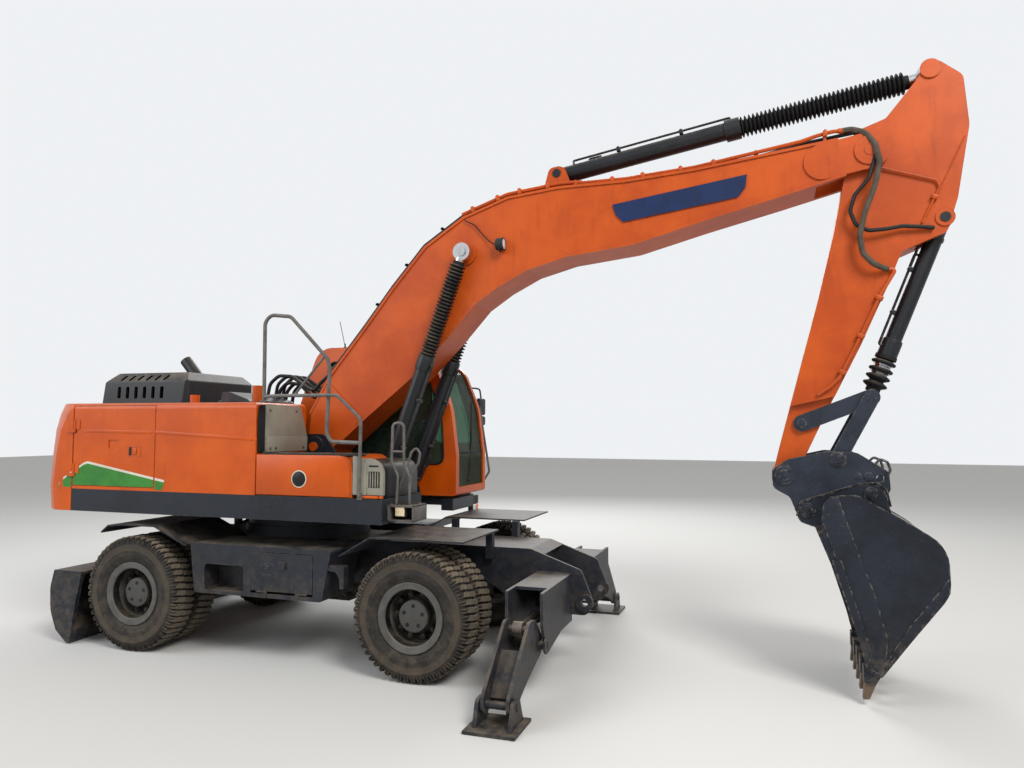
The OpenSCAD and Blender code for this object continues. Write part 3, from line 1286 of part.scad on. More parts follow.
module bucket_rod() {
    color("#c8cacc") at_slew() {
        aim(bucket_base, bucket_eye) {
            translate([0, 0, 200]) cylinder(r = bucket_rod_r, h = bucket_len - 260);
            // rubber boot, pushed together on the rod
            for (z = [0:3]) translate([0, 0, bucket_barrel_len + 60 + 34 * z])
                rotate_extrude($fn = 32) polygon([[bucket_rod_r - 5, 0], [62, 0], [82, 16], [62, 32], [bucket_rod_r - 5, 32]]);
        }
        pin_y(bucket_eye, 68, -52, 52);
        pin_y(bucket_eye, 35, -108, 108);
    }
}

module link_plate(p, q, r) {
    hull() {
        translate(p) circle(r, $fn = 32);
        translate(q) circle(r, $fn = 32);
    }
}

module rocker_links() {
    color("#25282c") at_slew() {
        both_sides() xz(118, 146) link_plate(rocker_pin, bucket_eye, 68);
        both_sides() pin_y(bucket_eye, 35, 145, 182);
        pin_y(rocker_pin, 35, -156, 156);
    }
}

module push_link() {
    color("#25282c") at_slew() {
        both_sides() xz(152, 178) difference() {
            link_plate(bucket_eye, link_pin, 62);
            translate(bucket_eye) circle(35 + pin_gap);
        }
        pin_y(link_pin, 45, -160, 160);
    }
}

coupler_rows = [
    [-100, 40, 70], [30, 130, 70], [330, 200, 60], [560, 190, 60], [790, 40, 60], [800, -110, 60],
    [690, -230, 60], [420, -190, 80], [250, -330, 60], [110, -360, 60], [40, -180, 60], [-90, -110, 60]
];

module coupler() {
    color("#2b2e31") at_slew() difference() {
        union() {
            both_sides() xz(184, 214) polygon(rounded(moved(coupler_rows, arm_end)));
            xz(-185, 185) polygon(rounded(moved([
                [240, -20, 30], [330, -40, 30], [700, -60, 30], [690, -170, 30], [250, -200, 30]], arm_end)));
            both_sides() pin_y(link_pin, 62, 213, 224);
            both_sides() pin_y(arm_end, 78, 213, 226);
            pin_y(arm_end, bucket_pin_r, -185, 185);
        }
        pin_y(hook_front, bucket_pin_r + pin_gap, -300, 300);
        pin_y(hook_rear, bucket_pin_r + pin_gap, -300, 300);
        pin_y(arm_end + [725, -10], 30, -300, 300);
    }
}

bucket_side_rows = [
    [250, -330, 120], [330, -130, 110], [520, -120, 130], [820, -290, 260], [1130, -480, 260], [1140, -830, 220],
    [870, -1190, 200], [660, -1480, 20], [560, -1420, 20], [540, -1210, 0]
];

// Outer and inner face of the bucket's wrapped sheet, and its side plate
wrap_outer = [
    [235, -430, 0], [420, -335, 120], [600, -275, 120], [800, -292, 220], [1130, -480, 260], [1140, -830, 220],
    [870, -1190, 200], [660, -1480, 20], [560, -1420, 20], [540, -1200, 0]
];
wrap_inner = [
    [200, -480, 0], [420, -357, 110], [600, -297, 110], [790, -314, 200], [1106, -495, 240], [1116, -820, 200],
    [850, -1178, 180], [600, -1520, 0], [300, -1520, 0]
];

module bucket() {
    w = bucket_half_w;
    color("#2b2e31") at_slew() difference() {
        union() {
            both_sides() xz(w - bucket_side_t, w) polygon(rounded(moved(bucket_side_rows, arm_end)));
            difference() {
                xz(-w + 1, w - 1) polygon(rounded(moved(wrap_outer, arm_end)));
                xz(-w + bucket_side_t, w - bucket_side_t) polygon(rounded(moved(wrap_inner, arm_end)));
            }
            // hanger plates on the back, with their pins
            both_sides() xz(220, 250) polygon(rounded(moved([
                [90, -370, 70], [110, -200, 70], [300, -160, 60], [560, -60, 70], [740, -60, 80], [800, -300, 40],
                [700, -400, 0], [420, -330, 0], [240, -420, 40]], arm_end)));
            pin_y(hook_front, bucket_pin_r, -230, 230);
            pin_y(hook_rear, bucket_pin_r, -230, 230);
            // teeth with their holders on the cutting edge
            for (k = [0:tooth_count - 1]) {
                y = -w + 70 + k * (2 * w - 140) / (tooth_count - 1);
                xz(y - 52, y + 52) polygon(shifted([
                    [540, -1400, 0], [690, -1420, 0], [625, -1530, 0], [540, -1530, 0]], arm_end));
                xz(y - 36, y + 36) polygon(shifted([
                    [550, -1490, 0], [640, -1500, 0], [580, -1648, 0], [535, -1655, 0]], arm_end));
            }
            // side cutters
            both_sides() xz(w - 1, w + 14) polygon(shifted([
                [330, -620, 0], [400, -620, 0], [600, -1300, 0], [560, -1420, 0], [520, -1250, 0]], arm_end));
        }
    }
}

chassis();
outrigger_beam();
mudguards();
side_boxes();
side_box_door();
front_axle();
rear_axle();
drivetrain();
steering_rod();
knuckle_left();
knuckle_right();
rim_front_left();
rim_front_right();
rim_rear_left();
rim_rear_right();
tyre_front_left();
tyre_front_right();
tyre_rear_left();
tyre_rear_right();
leg_left();
leg_right();
pad_left();
pad_right();
leg_barrel_left();
leg_barrel_right();
leg_rod_left();
leg_rod_right();
blade();
blade_barrels();
blade_rods();
platform();
counterweight();
engine();
body_shell();
engine_hood();
pump_door();
radiator_door();
tool_box();
tool_box_lid();
handrails();
cab_shell();
cab_glass();
cab_door();
cab_interior();
boom();
boom_lines();
boom_barrels();
boom_rods();
boom_boots();
arm_barrel();
arm_rod();
arm_boot();
arm();
arm_lines();
bucket_barrel();
bucket_rod();
rocker_links();
push_link();
coupler();
bucket();
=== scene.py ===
"""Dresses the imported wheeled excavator: camera, light, finishes and the fittings that the frame leaves out."""

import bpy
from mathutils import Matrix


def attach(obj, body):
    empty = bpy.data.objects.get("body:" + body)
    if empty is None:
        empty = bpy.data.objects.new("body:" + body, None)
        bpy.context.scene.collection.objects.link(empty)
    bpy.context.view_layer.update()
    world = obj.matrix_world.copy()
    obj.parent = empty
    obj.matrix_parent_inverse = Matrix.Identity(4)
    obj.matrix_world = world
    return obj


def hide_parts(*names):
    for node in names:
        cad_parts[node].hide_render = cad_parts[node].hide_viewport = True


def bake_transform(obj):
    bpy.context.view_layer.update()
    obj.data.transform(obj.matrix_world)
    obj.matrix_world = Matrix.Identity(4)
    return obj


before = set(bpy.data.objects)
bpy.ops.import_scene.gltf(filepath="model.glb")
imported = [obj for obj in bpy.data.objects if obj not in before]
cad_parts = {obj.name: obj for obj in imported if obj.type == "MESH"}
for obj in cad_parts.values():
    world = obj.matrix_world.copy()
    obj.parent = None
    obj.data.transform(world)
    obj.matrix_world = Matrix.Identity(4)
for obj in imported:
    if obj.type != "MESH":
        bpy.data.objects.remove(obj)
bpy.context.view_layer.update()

import math

import bpy
from mathutils import Matrix, Vector


def vec(*place):
    return Vector(place)


SLEW = vec(-1.66, 0, 0)  # the slewing axis; every place below is measured from it
AXLES = {"front": 1.75, "rear": -1.1}
AXLE_HEIGHT = .528
SIDES = ("left", "right")
SIDE = -1.25  # the house's right side

# ---------------------------------------------------------------- camera

PHOTO_WIDTH = 1024
SENSOR = 36
FOCAL_PIXELS = 782.9
EYE = SLEW + vec(4.581, -7.109, 2.085)
YAW, PITCH, ROLL = 18.46, 3.16, .22

bpy.ops.object.camera_add(location=EYE)
camera = bpy.context.object
camera.matrix_world = (
    Matrix.Translation(EYE)
    @ Matrix.Rotation(math.radians(YAW), 4, "Z")
    @ Matrix.Rotation(math.radians(90 + PITCH), 4, "X")
    @ Matrix.Rotation(math.radians(ROLL), 4, "Z")
)
camera.data.sensor_width = SENSOR
camera.data.lens = FOCAL_PIXELS / PHOTO_WIDTH * SENSOR
camera.data.dof.use_dof = False
camera.data.clip_start, camera.data.clip_end = .05, 200
bpy.context.scene.camera = camera
bpy.context.scene.view_settings.view_transform = "Standard"


# ---------------------------------------------------------------- finishes

def shader_of(name):
    """A new material with its tree, its shader and an object-space position to hang patterns on."""
    material = bpy.data.materials.new(name)
    material.use_nodes = True
    tree = material.node_tree
    shader = tree.nodes["Principled BSDF"]
    place = tree.nodes.new("ShaderNodeTexCoord")
    return material, tree, shader, place.outputs["Object"]


def fill(tree, node, inputs):
    """Sets a node's inputs, each to a value, a plain colour or another node's output."""
    for key, value in inputs.items():
        socket = node.inputs[key]
        if isinstance(value, bpy.types.NodeSocket):
            tree.links.new(value, socket)
        else:
            socket.default_value = (*value, 1) if socket.type == "RGBA" else value
    return node


def added(tree, kind, inputs):
    """A new node with these inputs."""
    return fill(tree, tree.nodes.new(f"ShaderNode{kind}"), inputs)


def noise(tree, place, scale, detail=4, rough=.55, stretch=None):
    if stretch:
        place = added(tree, "Mapping", {"Scale": stretch, "Vector": place}).outputs["Vector"]
    values = {"Scale": scale, "Detail": detail, "Roughness": rough, "Vector": place}
    return added(tree, "TexNoise", values).outputs["Fac"]


def ramp(tree, value, low, high, a=0.0, b=1.0):
    """Remaps low..high of a value to a..b, smoothly."""
    node = added(tree, "MapRange", {"From Min": low, "From Max": high, "To Min": a, "To Max": b, "Value": value})
    node.interpolation_type = "SMOOTHSTEP"
    return node.outputs["Result"]


def maths(tree, kind, a, b):
    node = added(tree, "Math", {0: a, 1: b})
    node.operation = kind
    node.use_clamp = kind != "SUBTRACT"
    return node.outputs[0]


def mix(tree, factor, a, b):
    """Blends two colours, each an output or a plain colour."""
    node = tree.nodes.new("ShaderNodeMix")
    node.data_type = "RGBA"
    return fill(tree, node, {0: factor, 6: a, 7: b}).outputs[2]


def axes_of(tree, vector):
    """The X, Y and Z of a vector."""
    return added(tree, "SeparateXYZ", {0: vector}).outputs


def bump(tree, shader, value, strength, distance):
    node = added(tree, "Bump", {"Strength": strength, "Distance": distance, "Height": value})
    fill(tree, shader, {"Normal": node.outputs["Normal"]})


def linear(r, g, b):
    """The shader's colour for a colour that is written in 0..255."""
    return tuple(((c / 255 + .055) / 1.055) ** 2.4 if c > 10 else c / 255 / 12.92 for c in (r, g, b))


DUST = linear(168, 152, 128)
MUD = linear(112, 98, 80)


def box_of(low, high):
    """A mask: one inside a box between two corners measured from the slewing axis; None leaves a side open."""
    def mask(tree, place):
        axes, found = axes_of(tree, place), None
        for axis in range(3):
            for kind, bound in (("GREATER_THAN", low[axis]), ("LESS_THAN", high[axis])):
                if bound is not None:
                    test = maths(tree, kind, axes[axis], bound + SLEW[axis])
                    found = test if found is None else maths(tree, "MULTIPLY", found, test)
        return found
    return mask


def ring_of(x, near, far):
    """A mask: one in a ring round the axle at x, between two radii."""
    def mask(tree, place):
        axes = axes_of(tree, place)
        offsets = [maths(tree, "SUBTRACT", axes[0], x + SLEW.x), maths(tree, "SUBTRACT", axes[2], AXLE_HEIGHT)]
        squares = [maths(tree, "MULTIPLY", o, o) for o in offsets]
        reach = maths(tree, "POWER", maths(tree, "ADD", *squares), .5)
        return maths(tree, "MULTIPLY", maths(tree, "GREATER_THAN", reach, near), maths(tree, "LESS_THAN", reach, far))
    return mask


def weathered(name, colour, shade, rough=.45, metal=0.0, dust=.2, mud=.2, wear=None, grain=(260, .03),
              patch=2.2, mud_top=1.3, coat=0.0, zones=()):
    """Paint, rubber or metal with patches of shade, dust on top, dirt low down and chips along the edges.
    Colours are in 0..255; wear is (width, colour) and zones are places of another colour: (mask, colour)."""
    material, tree, shader, place = shader_of(name)
    colour, shade = linear(*colour), linear(*shade)
    patches = ramp(tree, noise(tree, place, patch, 5, .6), .36, .66)
    base = mix(tree, patches, colour, shade)
    for mask, other in zones:
        base = mix(tree, mask(tree, place), base, linear(*other))
    # streaks that rain has drawn down the sides
    streaks = ramp(tree, noise(tree, place, 3.0, 6, .62, (5, 5, .7)), .54, .76, 0, .35)
    base = mix(tree, streaks, base, tuple(c * .62 for c in shade))
    normal = tree.nodes.new("ShaderNodeNewGeometry").outputs["Normal"]
    up = ramp(tree, axes_of(tree, normal)["Z"], .35, .95)
    loose = ramp(tree, noise(tree, place, 7, 6, .68), .3, .72)
    settled = maths(tree, "MULTIPLY", up, maths(tree, "MULTIPLY", loose, dust * 1.7))
    specks = ramp(tree, noise(tree, place, 34, 4, .7), .58, .78, 0, dust * .45)
    low = ramp(tree, axes_of(tree, place)["Z"], mud_top, .1)
    splash = ramp(tree, noise(tree, place, 11, 7, .7), .4, .66)
    dirt = maths(tree, "MULTIPLY", low, maths(tree, "MULTIPLY", splash, mud))
    base = mix(tree, maths(tree, "MAXIMUM", settled, specks), base, DUST)
    base = mix(tree, dirt, base, MUD)
    roughness = ramp(tree, maths(tree, "MAXIMUM", maths(tree, "ADD", settled, specks), dirt), 0, .8, rough, .9)
    if wear:
        reach, bare = wear
        round_edge = added(tree, "Bevel", {"Radius": reach})
        round_edge.samples = 3
        product = added(tree, "VectorMath", {0: round_edge.outputs[0], 1: normal})
        product.operation = "DOT_PRODUCT"
        edge = ramp(tree, product.outputs["Value"], .985, .85)
        chips = ramp(tree, noise(tree, place, 23, 5, .65), .47, .6)
        base = mix(tree, maths(tree, "MULTIPLY", edge, chips), base, linear(*bare))
    fill(tree, shader, {"Base Color": base, "Roughness": roughness, "Metallic": metal,
                        "Specular IOR Level": .5 if metal > .4 else .3})
    if coat:
        fill(tree, shader, {"Coat Weight": coat, "Coat Roughness": .2})
    scale, depth = grain
    bump(tree, shader, noise(tree, place, scale, 3), depth, .002)
    return material


ENAMEL, ENAMEL_SHADE = (192, 80, 0), (176, 69, 0)
SATIN_BLACK = (20, 22, 26)
CHIPPED = (.010, (104, 60, 40))
ORANGE = weathered("orange enamel", ENAMEL, ENAMEL_SHADE, .36, dust=.07, mud=.35, wear=CHIPPED, coat=.08)
HOUSE_PAINT = weathered("orange enamel with the black engine cover", ENAMEL, ENAMEL_SHADE, .36, dust=.07, mud=.35,
                        wear=CHIPPED, coat=.08,
                        zones=((box_of((-.575, -.73, 2.3005), (-.205, .03, 2.5)), SATIN_BLACK),))
BOOM_ORANGE = weathered("weathered orange enamel", (186, 78, 16), (168, 65, 12), .42, dust=.1, mud=.35,
                        wear=(.014, (112, 66, 46)))
FRAME_PAINT = weathered("blue-grey frame paint", (31, 35, 44), (22, 26, 34), .5, mud=.36, wear=(.012, (84, 76, 68)))
DECK_PAINT = weathered("blue-grey deck paint with its grey-beige panels", (28, 32, 40), (20, 24, 31),
                       .5, dust=.16, mud=.25, wear=(.01, (78, 72, 66)),
                       zones=((box_of((1.285, .4405, 1.215), (1.43, 1.02, 1.345)), (62, 64, 68)),))
BUCKET_PAINT = weathered("worn bucket paint", (34, 39, 49), (25, 29, 37), .4, metal=.25, dust=.22,
                         mud=.5, wear=(.02, (126, 118, 106)), grain=(70, .25), patch=4, mud_top=.7,
                         zones=((box_of((None, None, None), (None, None, .17)), (92, 76, 62)),))
LINK_PAINT = weathered("worn link paint", (44, 50, 62), (33, 38, 48), .42, metal=.2, mud=.3,
                       wear=(.014, (120, 114, 104)), patch=4)
HOOD_PAINT = weathered("satin black sheet", SATIN_BLACK, (15, 17, 20), .42, dust=.24, mud=.25,
                       wear=(.01, (76, 74, 72)), coat=.1)
BARREL_PAINT = weathered("cylinder paint", (26, 28, 33), (19, 21, 25), .4, dust=.18, mud=.3,
                         wear=(.008, (96, 92, 86)), coat=.1)
COVER_PAINT = weathered("grey-beige cover paint", (142, 139, 126), (126, 123, 112), .5, dust=.22,
                        mud=.35, wear=(.01, (84, 74, 64)))
# each rim's well, the ring between the hub disc and the lip, is painted near-black as painted shade of the deep rim;
# the hub disc's grey is its own colour
RIMS_WITH_PAINTED_SHADE = {end: weathered(f"{end} rim paint and painted well shade", (86, 86, 84), (70, 70, 68), .55, dust=.1, mud=.12,
                       wear=(.008, (104, 96, 86)), mud_top=1.6, patch=7,
                       zones=((ring_of(x, .1335, .229), (9, 9, 9)), (ring_of(x, 0, .1335), (66, 66, 64))))
        for end, x in AXLES.items()}
CASTING = weathered("oily casting", (36, 34, 33), (24, 23, 22), .6, metal=.3, dust=.4, mud=.6, grain=(60, .25), patch=6)
CHROME = weathered("chromed rod", (205, 206, 208), (188, 188, 190), .14, metal=1.0, dust=.05, mud=.1, grain=(300, .01))
WORN_STEEL = weathered("soil-polished steel", (108, 102, 96), (76, 66, 58), .4, metal=.7,
                       mud=.5, grain=(70, .25), patch=8)
TYRE = weathered("dusty tyre rubber", (44, 42, 40), (35, 33, 32), .85, dust=.3, mud=.24,
                 grain=(90, .3), patch=5, mud_top=1.9,
                 zones=tuple((ring_of(x, near, far), colour) for x in AXLES.values() for near, far, colour in
                             ((.395, .45, (62, 56, 49)), (.5165, .54, (88, 80, 70)))))
BOOT = weathered("bellows rubber", (17, 17, 20), (12, 12, 14), .7, grain=(140, .2), patch=8)
HOSE = weathered("hose rubber", (20, 20, 23), (14, 14, 16), .55, dust=.16, grain=(420, .25), patch=12)
SLEEVE = weathered("dusty hose sleeve", (84, 74, 64), (66, 58, 51), .8, dust=.3, mud=.3, grain=(240, .5), patch=9)
# black rubber for seals, hinges, the wiper and the antenna, and also painted shade in the hub holes
BLACK_RUBBER_AND_PAINTED_SHADE = weathered("black rubber and painted shade", (16, 16, 18), (12, 12, 13), .7, grain=(260, .2), patch=8)
TRIM = weathered("moulded cab plastic", (40, 42, 46), (32, 34, 37), .6, dust=.18, grain=(520, .35), patch=5)
ZINC = weathered("plated bolt steel", (132, 128, 120), (98, 92, 84), .42, metal=.9, mud=.4, grain=(300, .1), patch=14)
RAIL_STEEL = weathered("grey painted rail", (104, 101, 98), (86, 83, 80), .4, metal=.2,
                       mud=.25, wear=(.006, (84, 78, 72)), grain=(300, .08), patch=12)
GREEN_STRIPE = weathered("green side stripe", (52, 124, 44), (44, 108, 40), .4, dust=.1, mud=.3, patch=6)
PALE_STRIPE = weathered("pale stripe edge", (206, 200, 184), (190, 184, 168), .4, dust=.16, mud=.3, patch=6)
# black film for the badge and the monitor screen, and also painted shade in the latch wells and behind the front cover
DARK_FILM_AND_PAINTED_SHADE = weathered("black badge film and painted shade", (16, 17, 19), (12, 13, 15), .35, dust=.12, grain=(120, .05), patch=5)
NAVY_FILM = weathered("navy name band film", (16, 37, 78), (13, 31, 66), .42, dust=.1, grain=(120, .05), patch=5)
TREAD = weathered("anti-slip tread strip", (22, 22, 24), (29, 29, 30), .9, dust=.26, mud=.25, grain=(420, .9), patch=6)


def seat_cloth():
    material, tree, shader, place = shader_of("seat cloth")
    weave = added(tree, "TexChecker", {"Scale": 180, "Vector": place})
    soiled = ramp(tree, noise(tree, place, 9, 6, .65), .4, .7)
    base = mix(tree, weave.outputs["Fac"], linear(46, 48, 54), linear(62, 64, 70))
    base = mix(tree, maths(tree, "MULTIPLY", soiled, .5), base, linear(92, 86, 76))
    fill(tree, shader, {"Base Color": base, "Roughness": .92, "Sheen Weight": .3})
    bump(tree, shader, weave.outputs["Fac"], .3, .001)
    return material


def window_glass():
    material, tree, shader, place = shader_of("tinted window glass")
    film = ramp(tree, noise(tree, place, 5, 7, .68), .42, .8, .03, .14)
    fill(tree, shader, {"Base Color": linear(92, 112, 100), "IOR": 1.45, "Roughness": film})
    clear = added(tree, "BsdfTransparent", {"Color": linear(186, 206, 194)})
    dusty = ramp(tree, noise(tree, place, 2.2, 6, .7), .35, .75, .14, .26)
    blend = added(tree, "MixShader", {0: dusty, 1: clear.outputs[0], 2: shader.outputs[0]})
    fill(tree, tree.nodes["Material Output"], {"Surface": blend.outputs[0]})
    return material


def lens_of(name, colour, rough=.12):
    """A ribbed lamp lens."""
    material, tree, shader, place = shader_of(name)
    ribs = added(tree, "TexWave", {"Scale": 60, "Vector": place})
    dirty = ramp(tree, noise(tree, place, 20, 5, .65), .45, .75, 0, .5)
    fill(tree, shader, {"Base Color": mix(tree, dirty, linear(*colour), DUST), "Roughness": rough, "Coat Weight": .6})
    bump(tree, shader, ribs.outputs["Fac"], .35, .002)
    return material


SEAT = seat_cloth()
GLASS = window_glass()
CLEAR_LENS = lens_of("clear lamp lens", (214, 218, 220))
WARM_LENS = lens_of("warm lamp lens", (226, 206, 168))
AMBER_LENS = lens_of("amber lamp lens", (232, 128, 30))
# the mirror's pale blue-grey colour is a painted reflection of the sky
MIRROR_PAINTED_REFLECTION = lens_of("mirror glass with painted reflection", (190, 198, 204), .04)


def coat_node(name, *materials):
    """Gives a frame node's mesh new finishes, one for each of its own slots, the last for any that are left."""
    for i, slot in enumerate(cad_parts[name].material_slots):
        slot.material = materials[min(i, len(materials) - 1)]


# ---------------------------------------------------------------- making

def deselect():
    if bpy.context.object and bpy.context.object.mode != "OBJECT":
        bpy.ops.object.mode_set(mode="OBJECT")
    bpy.ops.object.select_all(action="DESELECT")


def made(operator, **values):
    """The piece that an operator adds."""
    deselect()
    operator(**values)
    return bpy.context.object


def edit(operator, **values):
    """Runs an operator on the whole of the active mesh."""
    bpy.ops.object.mode_set(mode="EDIT")
    bpy.ops.mesh.select_all(action="SELECT")
    operator(**values)
    bpy.ops.object.mode_set(mode="OBJECT")


def only(piece):
    deselect()
    piece.select_set(True)
    bpy.context.view_layer.objects.active = piece


def settle(piece):
    """Puts the piece's place, turn and size into its mesh."""
    only(piece)
    bpy.ops.object.transform_apply(location=True, rotation=True, scale=True)
    return piece


def modify(piece, kind, **values):
    """Adds a modifier with these values and applies it."""
    only(piece)
    m = piece.modifiers.new(kind, kind)
    for key, value in values.items():
        setattr(m, key, value)
    bpy.ops.object.modifier_apply(modifier=m.name)
    return piece


def smooth(piece, angle=32):
    only(piece)
    bpy.ops.object.shade_smooth_by_angle(angle=math.radians(angle))
    return piece


def outwards(piece):
    """Closes doubles and turns every face outwards."""
    only(piece)
    edit(bpy.ops.mesh.remove_doubles, threshold=.0002)
    edit(bpy.ops.mesh.normals_make_consistent, inside=False)
    return piece


def bevelled(piece, width, segments=2, angle=30):
    return modify(piece, "BEVEL", width=width, segments=segments, limit_method="ANGLE",
                  angle_limit=math.radians(angle), use_clamp_overlap=True)


def block(low, high, edge=.006, segments=2):
    """A block between two corners, its edges rounded."""
    low, high = Vector(low), Vector(high)
    piece = made(bpy.ops.mesh.primitive_cube_add, size=1, location=SLEW + (low + high) / 2)
    piece.scale = high - low
    settle(piece)
    if edge:
        bevelled(piece, edge, segments)
    return piece


def turned_to(axis):
    return Vector(axis).to_track_quat("Z", "Y")


def drum(p, q, radius, sides=32, edge=0.0, tip=None):
    """A cylinder or cone from p to q."""
    p, q = Vector(p), Vector(q)
    piece = made(bpy.ops.mesh.primitive_cone_add, vertices=sides, radius1=radius,
                 radius2=radius if tip is None else tip, depth=(q - p).length, location=SLEW + (p + q) / 2)
    piece.rotation_mode = "QUATERNION"
    piece.rotation_quaternion = turned_to(q - p)
    settle(piece)
    if edge:
        bevelled(piece, edge, 2)
    return piece


def extruded(points, move):
    """A face through points, drawn out by a move."""
    piece = made(bpy.ops.mesh.primitive_circle_add, vertices=len(points), fill_type="NGON")
    for vertex, point in zip(piece.data.vertices, points):
        vertex.co = point
    edit(bpy.ops.mesh.extrude_region_move, TRANSFORM_OT_translate={"value": move})
    return piece


def disc(x, z, y0, y1, radius, sides=32, edge=.003):
    """A drum along Y."""
    return drum((x, y0, z), (x, y1, z), radius, sides, edge)


def plate(outline, normal_axis, low, high, edge=.004):
    """A plate cut to an outline. normal_axis 0, 1 or 2 is the axis across it; low and high are its faces."""
    def at(value, point):
        place = list(point)
        place.insert(normal_axis, value)
        return Vector(place)

    piece = outwards(extruded([SLEW + at(low, point) for point in outline], at(high - low, (0, 0))))
    if edge:
        bevelled(piece, edge, 2)
    return piece


def lathe(profile, centre, axis, steps=48):
    """Spins a profile of (radius, length along the axis) round an axis through centre."""
    piece = made(bpy.ops.mesh.primitive_circle_add, vertices=len(profile), fill_type="NOTHING")
    for vertex, (radius, along) in zip(piece.data.vertices, profile):
        vertex.co = (radius, 0, along)
    edit(bpy.ops.mesh.spin, steps=steps, angle=math.tau, center=(0, 0, 0), axis=(0, 0, 1), use_auto_merge=True)
    piece.rotation_mode = "QUATERNION"
    piece.rotation_quaternion = turned_to(axis)
    piece.location = SLEW + Vector(centre)
    settle(piece)
    return outwards(piece)


def rounded_path(points, bend, steps=6):
    """The points of a bent tube's middle line, each corner rounded to a radius."""
    points = [Vector(p) for p in points]
    line = [points[0]]
    for a, b, c in zip(points, points[1:], points[2:]):
        u, v = (a - b).normalized(), (c - b).normalized()
        half = u.angle(v) / 2
        if half > math.radians(89):
            line.append(b)
            continue
        reach = min(bend / math.tan(half), (a - b).length * .48, (c - b).length * .48)
        p, q = b + u * reach, b + v * reach
        line += [p.lerp(b, t).lerp(b.lerp(q, t), t) for t in (i / steps for i in range(steps + 1))]
    return line + [points[-1]]


def tube(points, radius, bend=.06, sides=12, caps=True):
    """A bent tube or hose along points, as a mesh."""
    line = rounded_path(points, bend) if bend else [Vector(p) for p in points]
    piece = made(bpy.ops.curve.primitive_nurbs_path_add)
    curve = piece.data
    curve.splines.clear()
    spline = curve.splines.new("POLY")
    spline.points.add(len(line) - 1)
    for target, point in zip(spline.points, line):
        target.co = (*(SLEW + point), 1)
    curve.dimensions = "3D"
    curve.bevel_depth = radius
    curve.bevel_resolution = max(0, sides // 4 - 1)
    curve.use_fill_caps = caps
    piece.location = (0, 0, 0)
    only(piece)
    bpy.ops.object.convert(target="MESH")
    return smooth(bpy.context.object, 40)


def aside(side, points):
    """Places on one side of the machine, their Y counted outwards from its middle."""
    return [(x, side * y, z) for x, y, z in points]


def joined(pieces):
    deselect()
    for piece in pieces:
        piece.select_set(True)
    bpy.context.view_layer.objects.active = pieces[0]
    if len(pieces) > 1:
        bpy.ops.object.join()
    return bpy.context.object


def copies(piece, moves):
    """The piece and a copy of it for each move, a matrix or an offset; each copy has its own mesh."""
    made = [piece]
    for move in moves:
        twin = piece.copy()
        twin.data = piece.data.copy()
        bpy.context.scene.collection.objects.link(twin)
        matrix = move if isinstance(move, Matrix) else Matrix.Translation(Vector(move))
        twin.data.transform(matrix)
        if matrix.determinant() < 0:
            twin.data.flip_normals()
        made.append(twin)
    return made


MIRROR_Y = Matrix.Diagonal((1, -1, 1, 1))


def both(piece):
    """The piece and its mirror image on the other side of the machine."""
    return copies(piece, [MIRROR_Y])


def about(centre, axis, degrees):
    """A turn about an axis through a place measured from the slewing axis."""
    c = SLEW + Vector(centre)
    return Matrix.Translation(c) @ Matrix.Rotation(math.radians(degrees), 4, Vector(axis)) @ Matrix.Translation(-c)


def placed(piece, at, run, up):
    """Carries a piece from the slewing axis to a place, its Y along run and its Z along up."""
    turn = Matrix((run.cross(up), run, up)).transposed().to_4x4()
    piece.data.transform(Matrix.Translation(SLEW + Vector(at)) @ turn @ Matrix.Translation(-SLEW))
    return piece


def dressed(parts, name, finish):
    """Makes one named piece with one finish out of a mesh or a list of them."""
    piece = joined(parts) if isinstance(parts, list) else parts
    piece.name = name
    piece.data.materials.clear()
    piece.data.materials.append(finish)
    return piece


def fit(parts, name, body, finish, angle=32, replaces=()):
    """Finishes a piece and makes it ride on a body."""
    piece = smooth(dressed(parts, name, finish), angle)
    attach(piece, body)
    if replaces:
        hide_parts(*replaces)


def stretch(parts, name, finish, first, last, start, end, replaces=()):
    """Finishes a hose or sleeve, puts its place into its mesh and hides the nodes it replaces; first, last, start and
    end are not used.
    """
    piece = dressed(parts, name, finish)
    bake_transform(piece)
    if replaces:
        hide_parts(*replaces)


def bolt(at, axis, size=.012, height=None, washer=True):
    """A hexagon head on its washer; size is half its width."""
    at, axis = Vector(at), Vector(axis).normalized()
    height = height or size * .9
    head = drum(at, at + axis * height, size * 1.1, 6)
    bevelled(head, size * .12, 1)
    if not washer:
        return head
    return joined([head, drum(at - axis * .001, at + axis * size * .25, size * 1.55, 16)])


def bolts(places, axis, size=.012, height=None):
    """One bolt, copied to every place."""
    first = Vector(places[0])
    return joined(copies(bolt(first, axis, size, height), [Vector(p) - first for p in places[1:]]))


# ---------------------------------------------------------------- finishes of the frame's own nodes

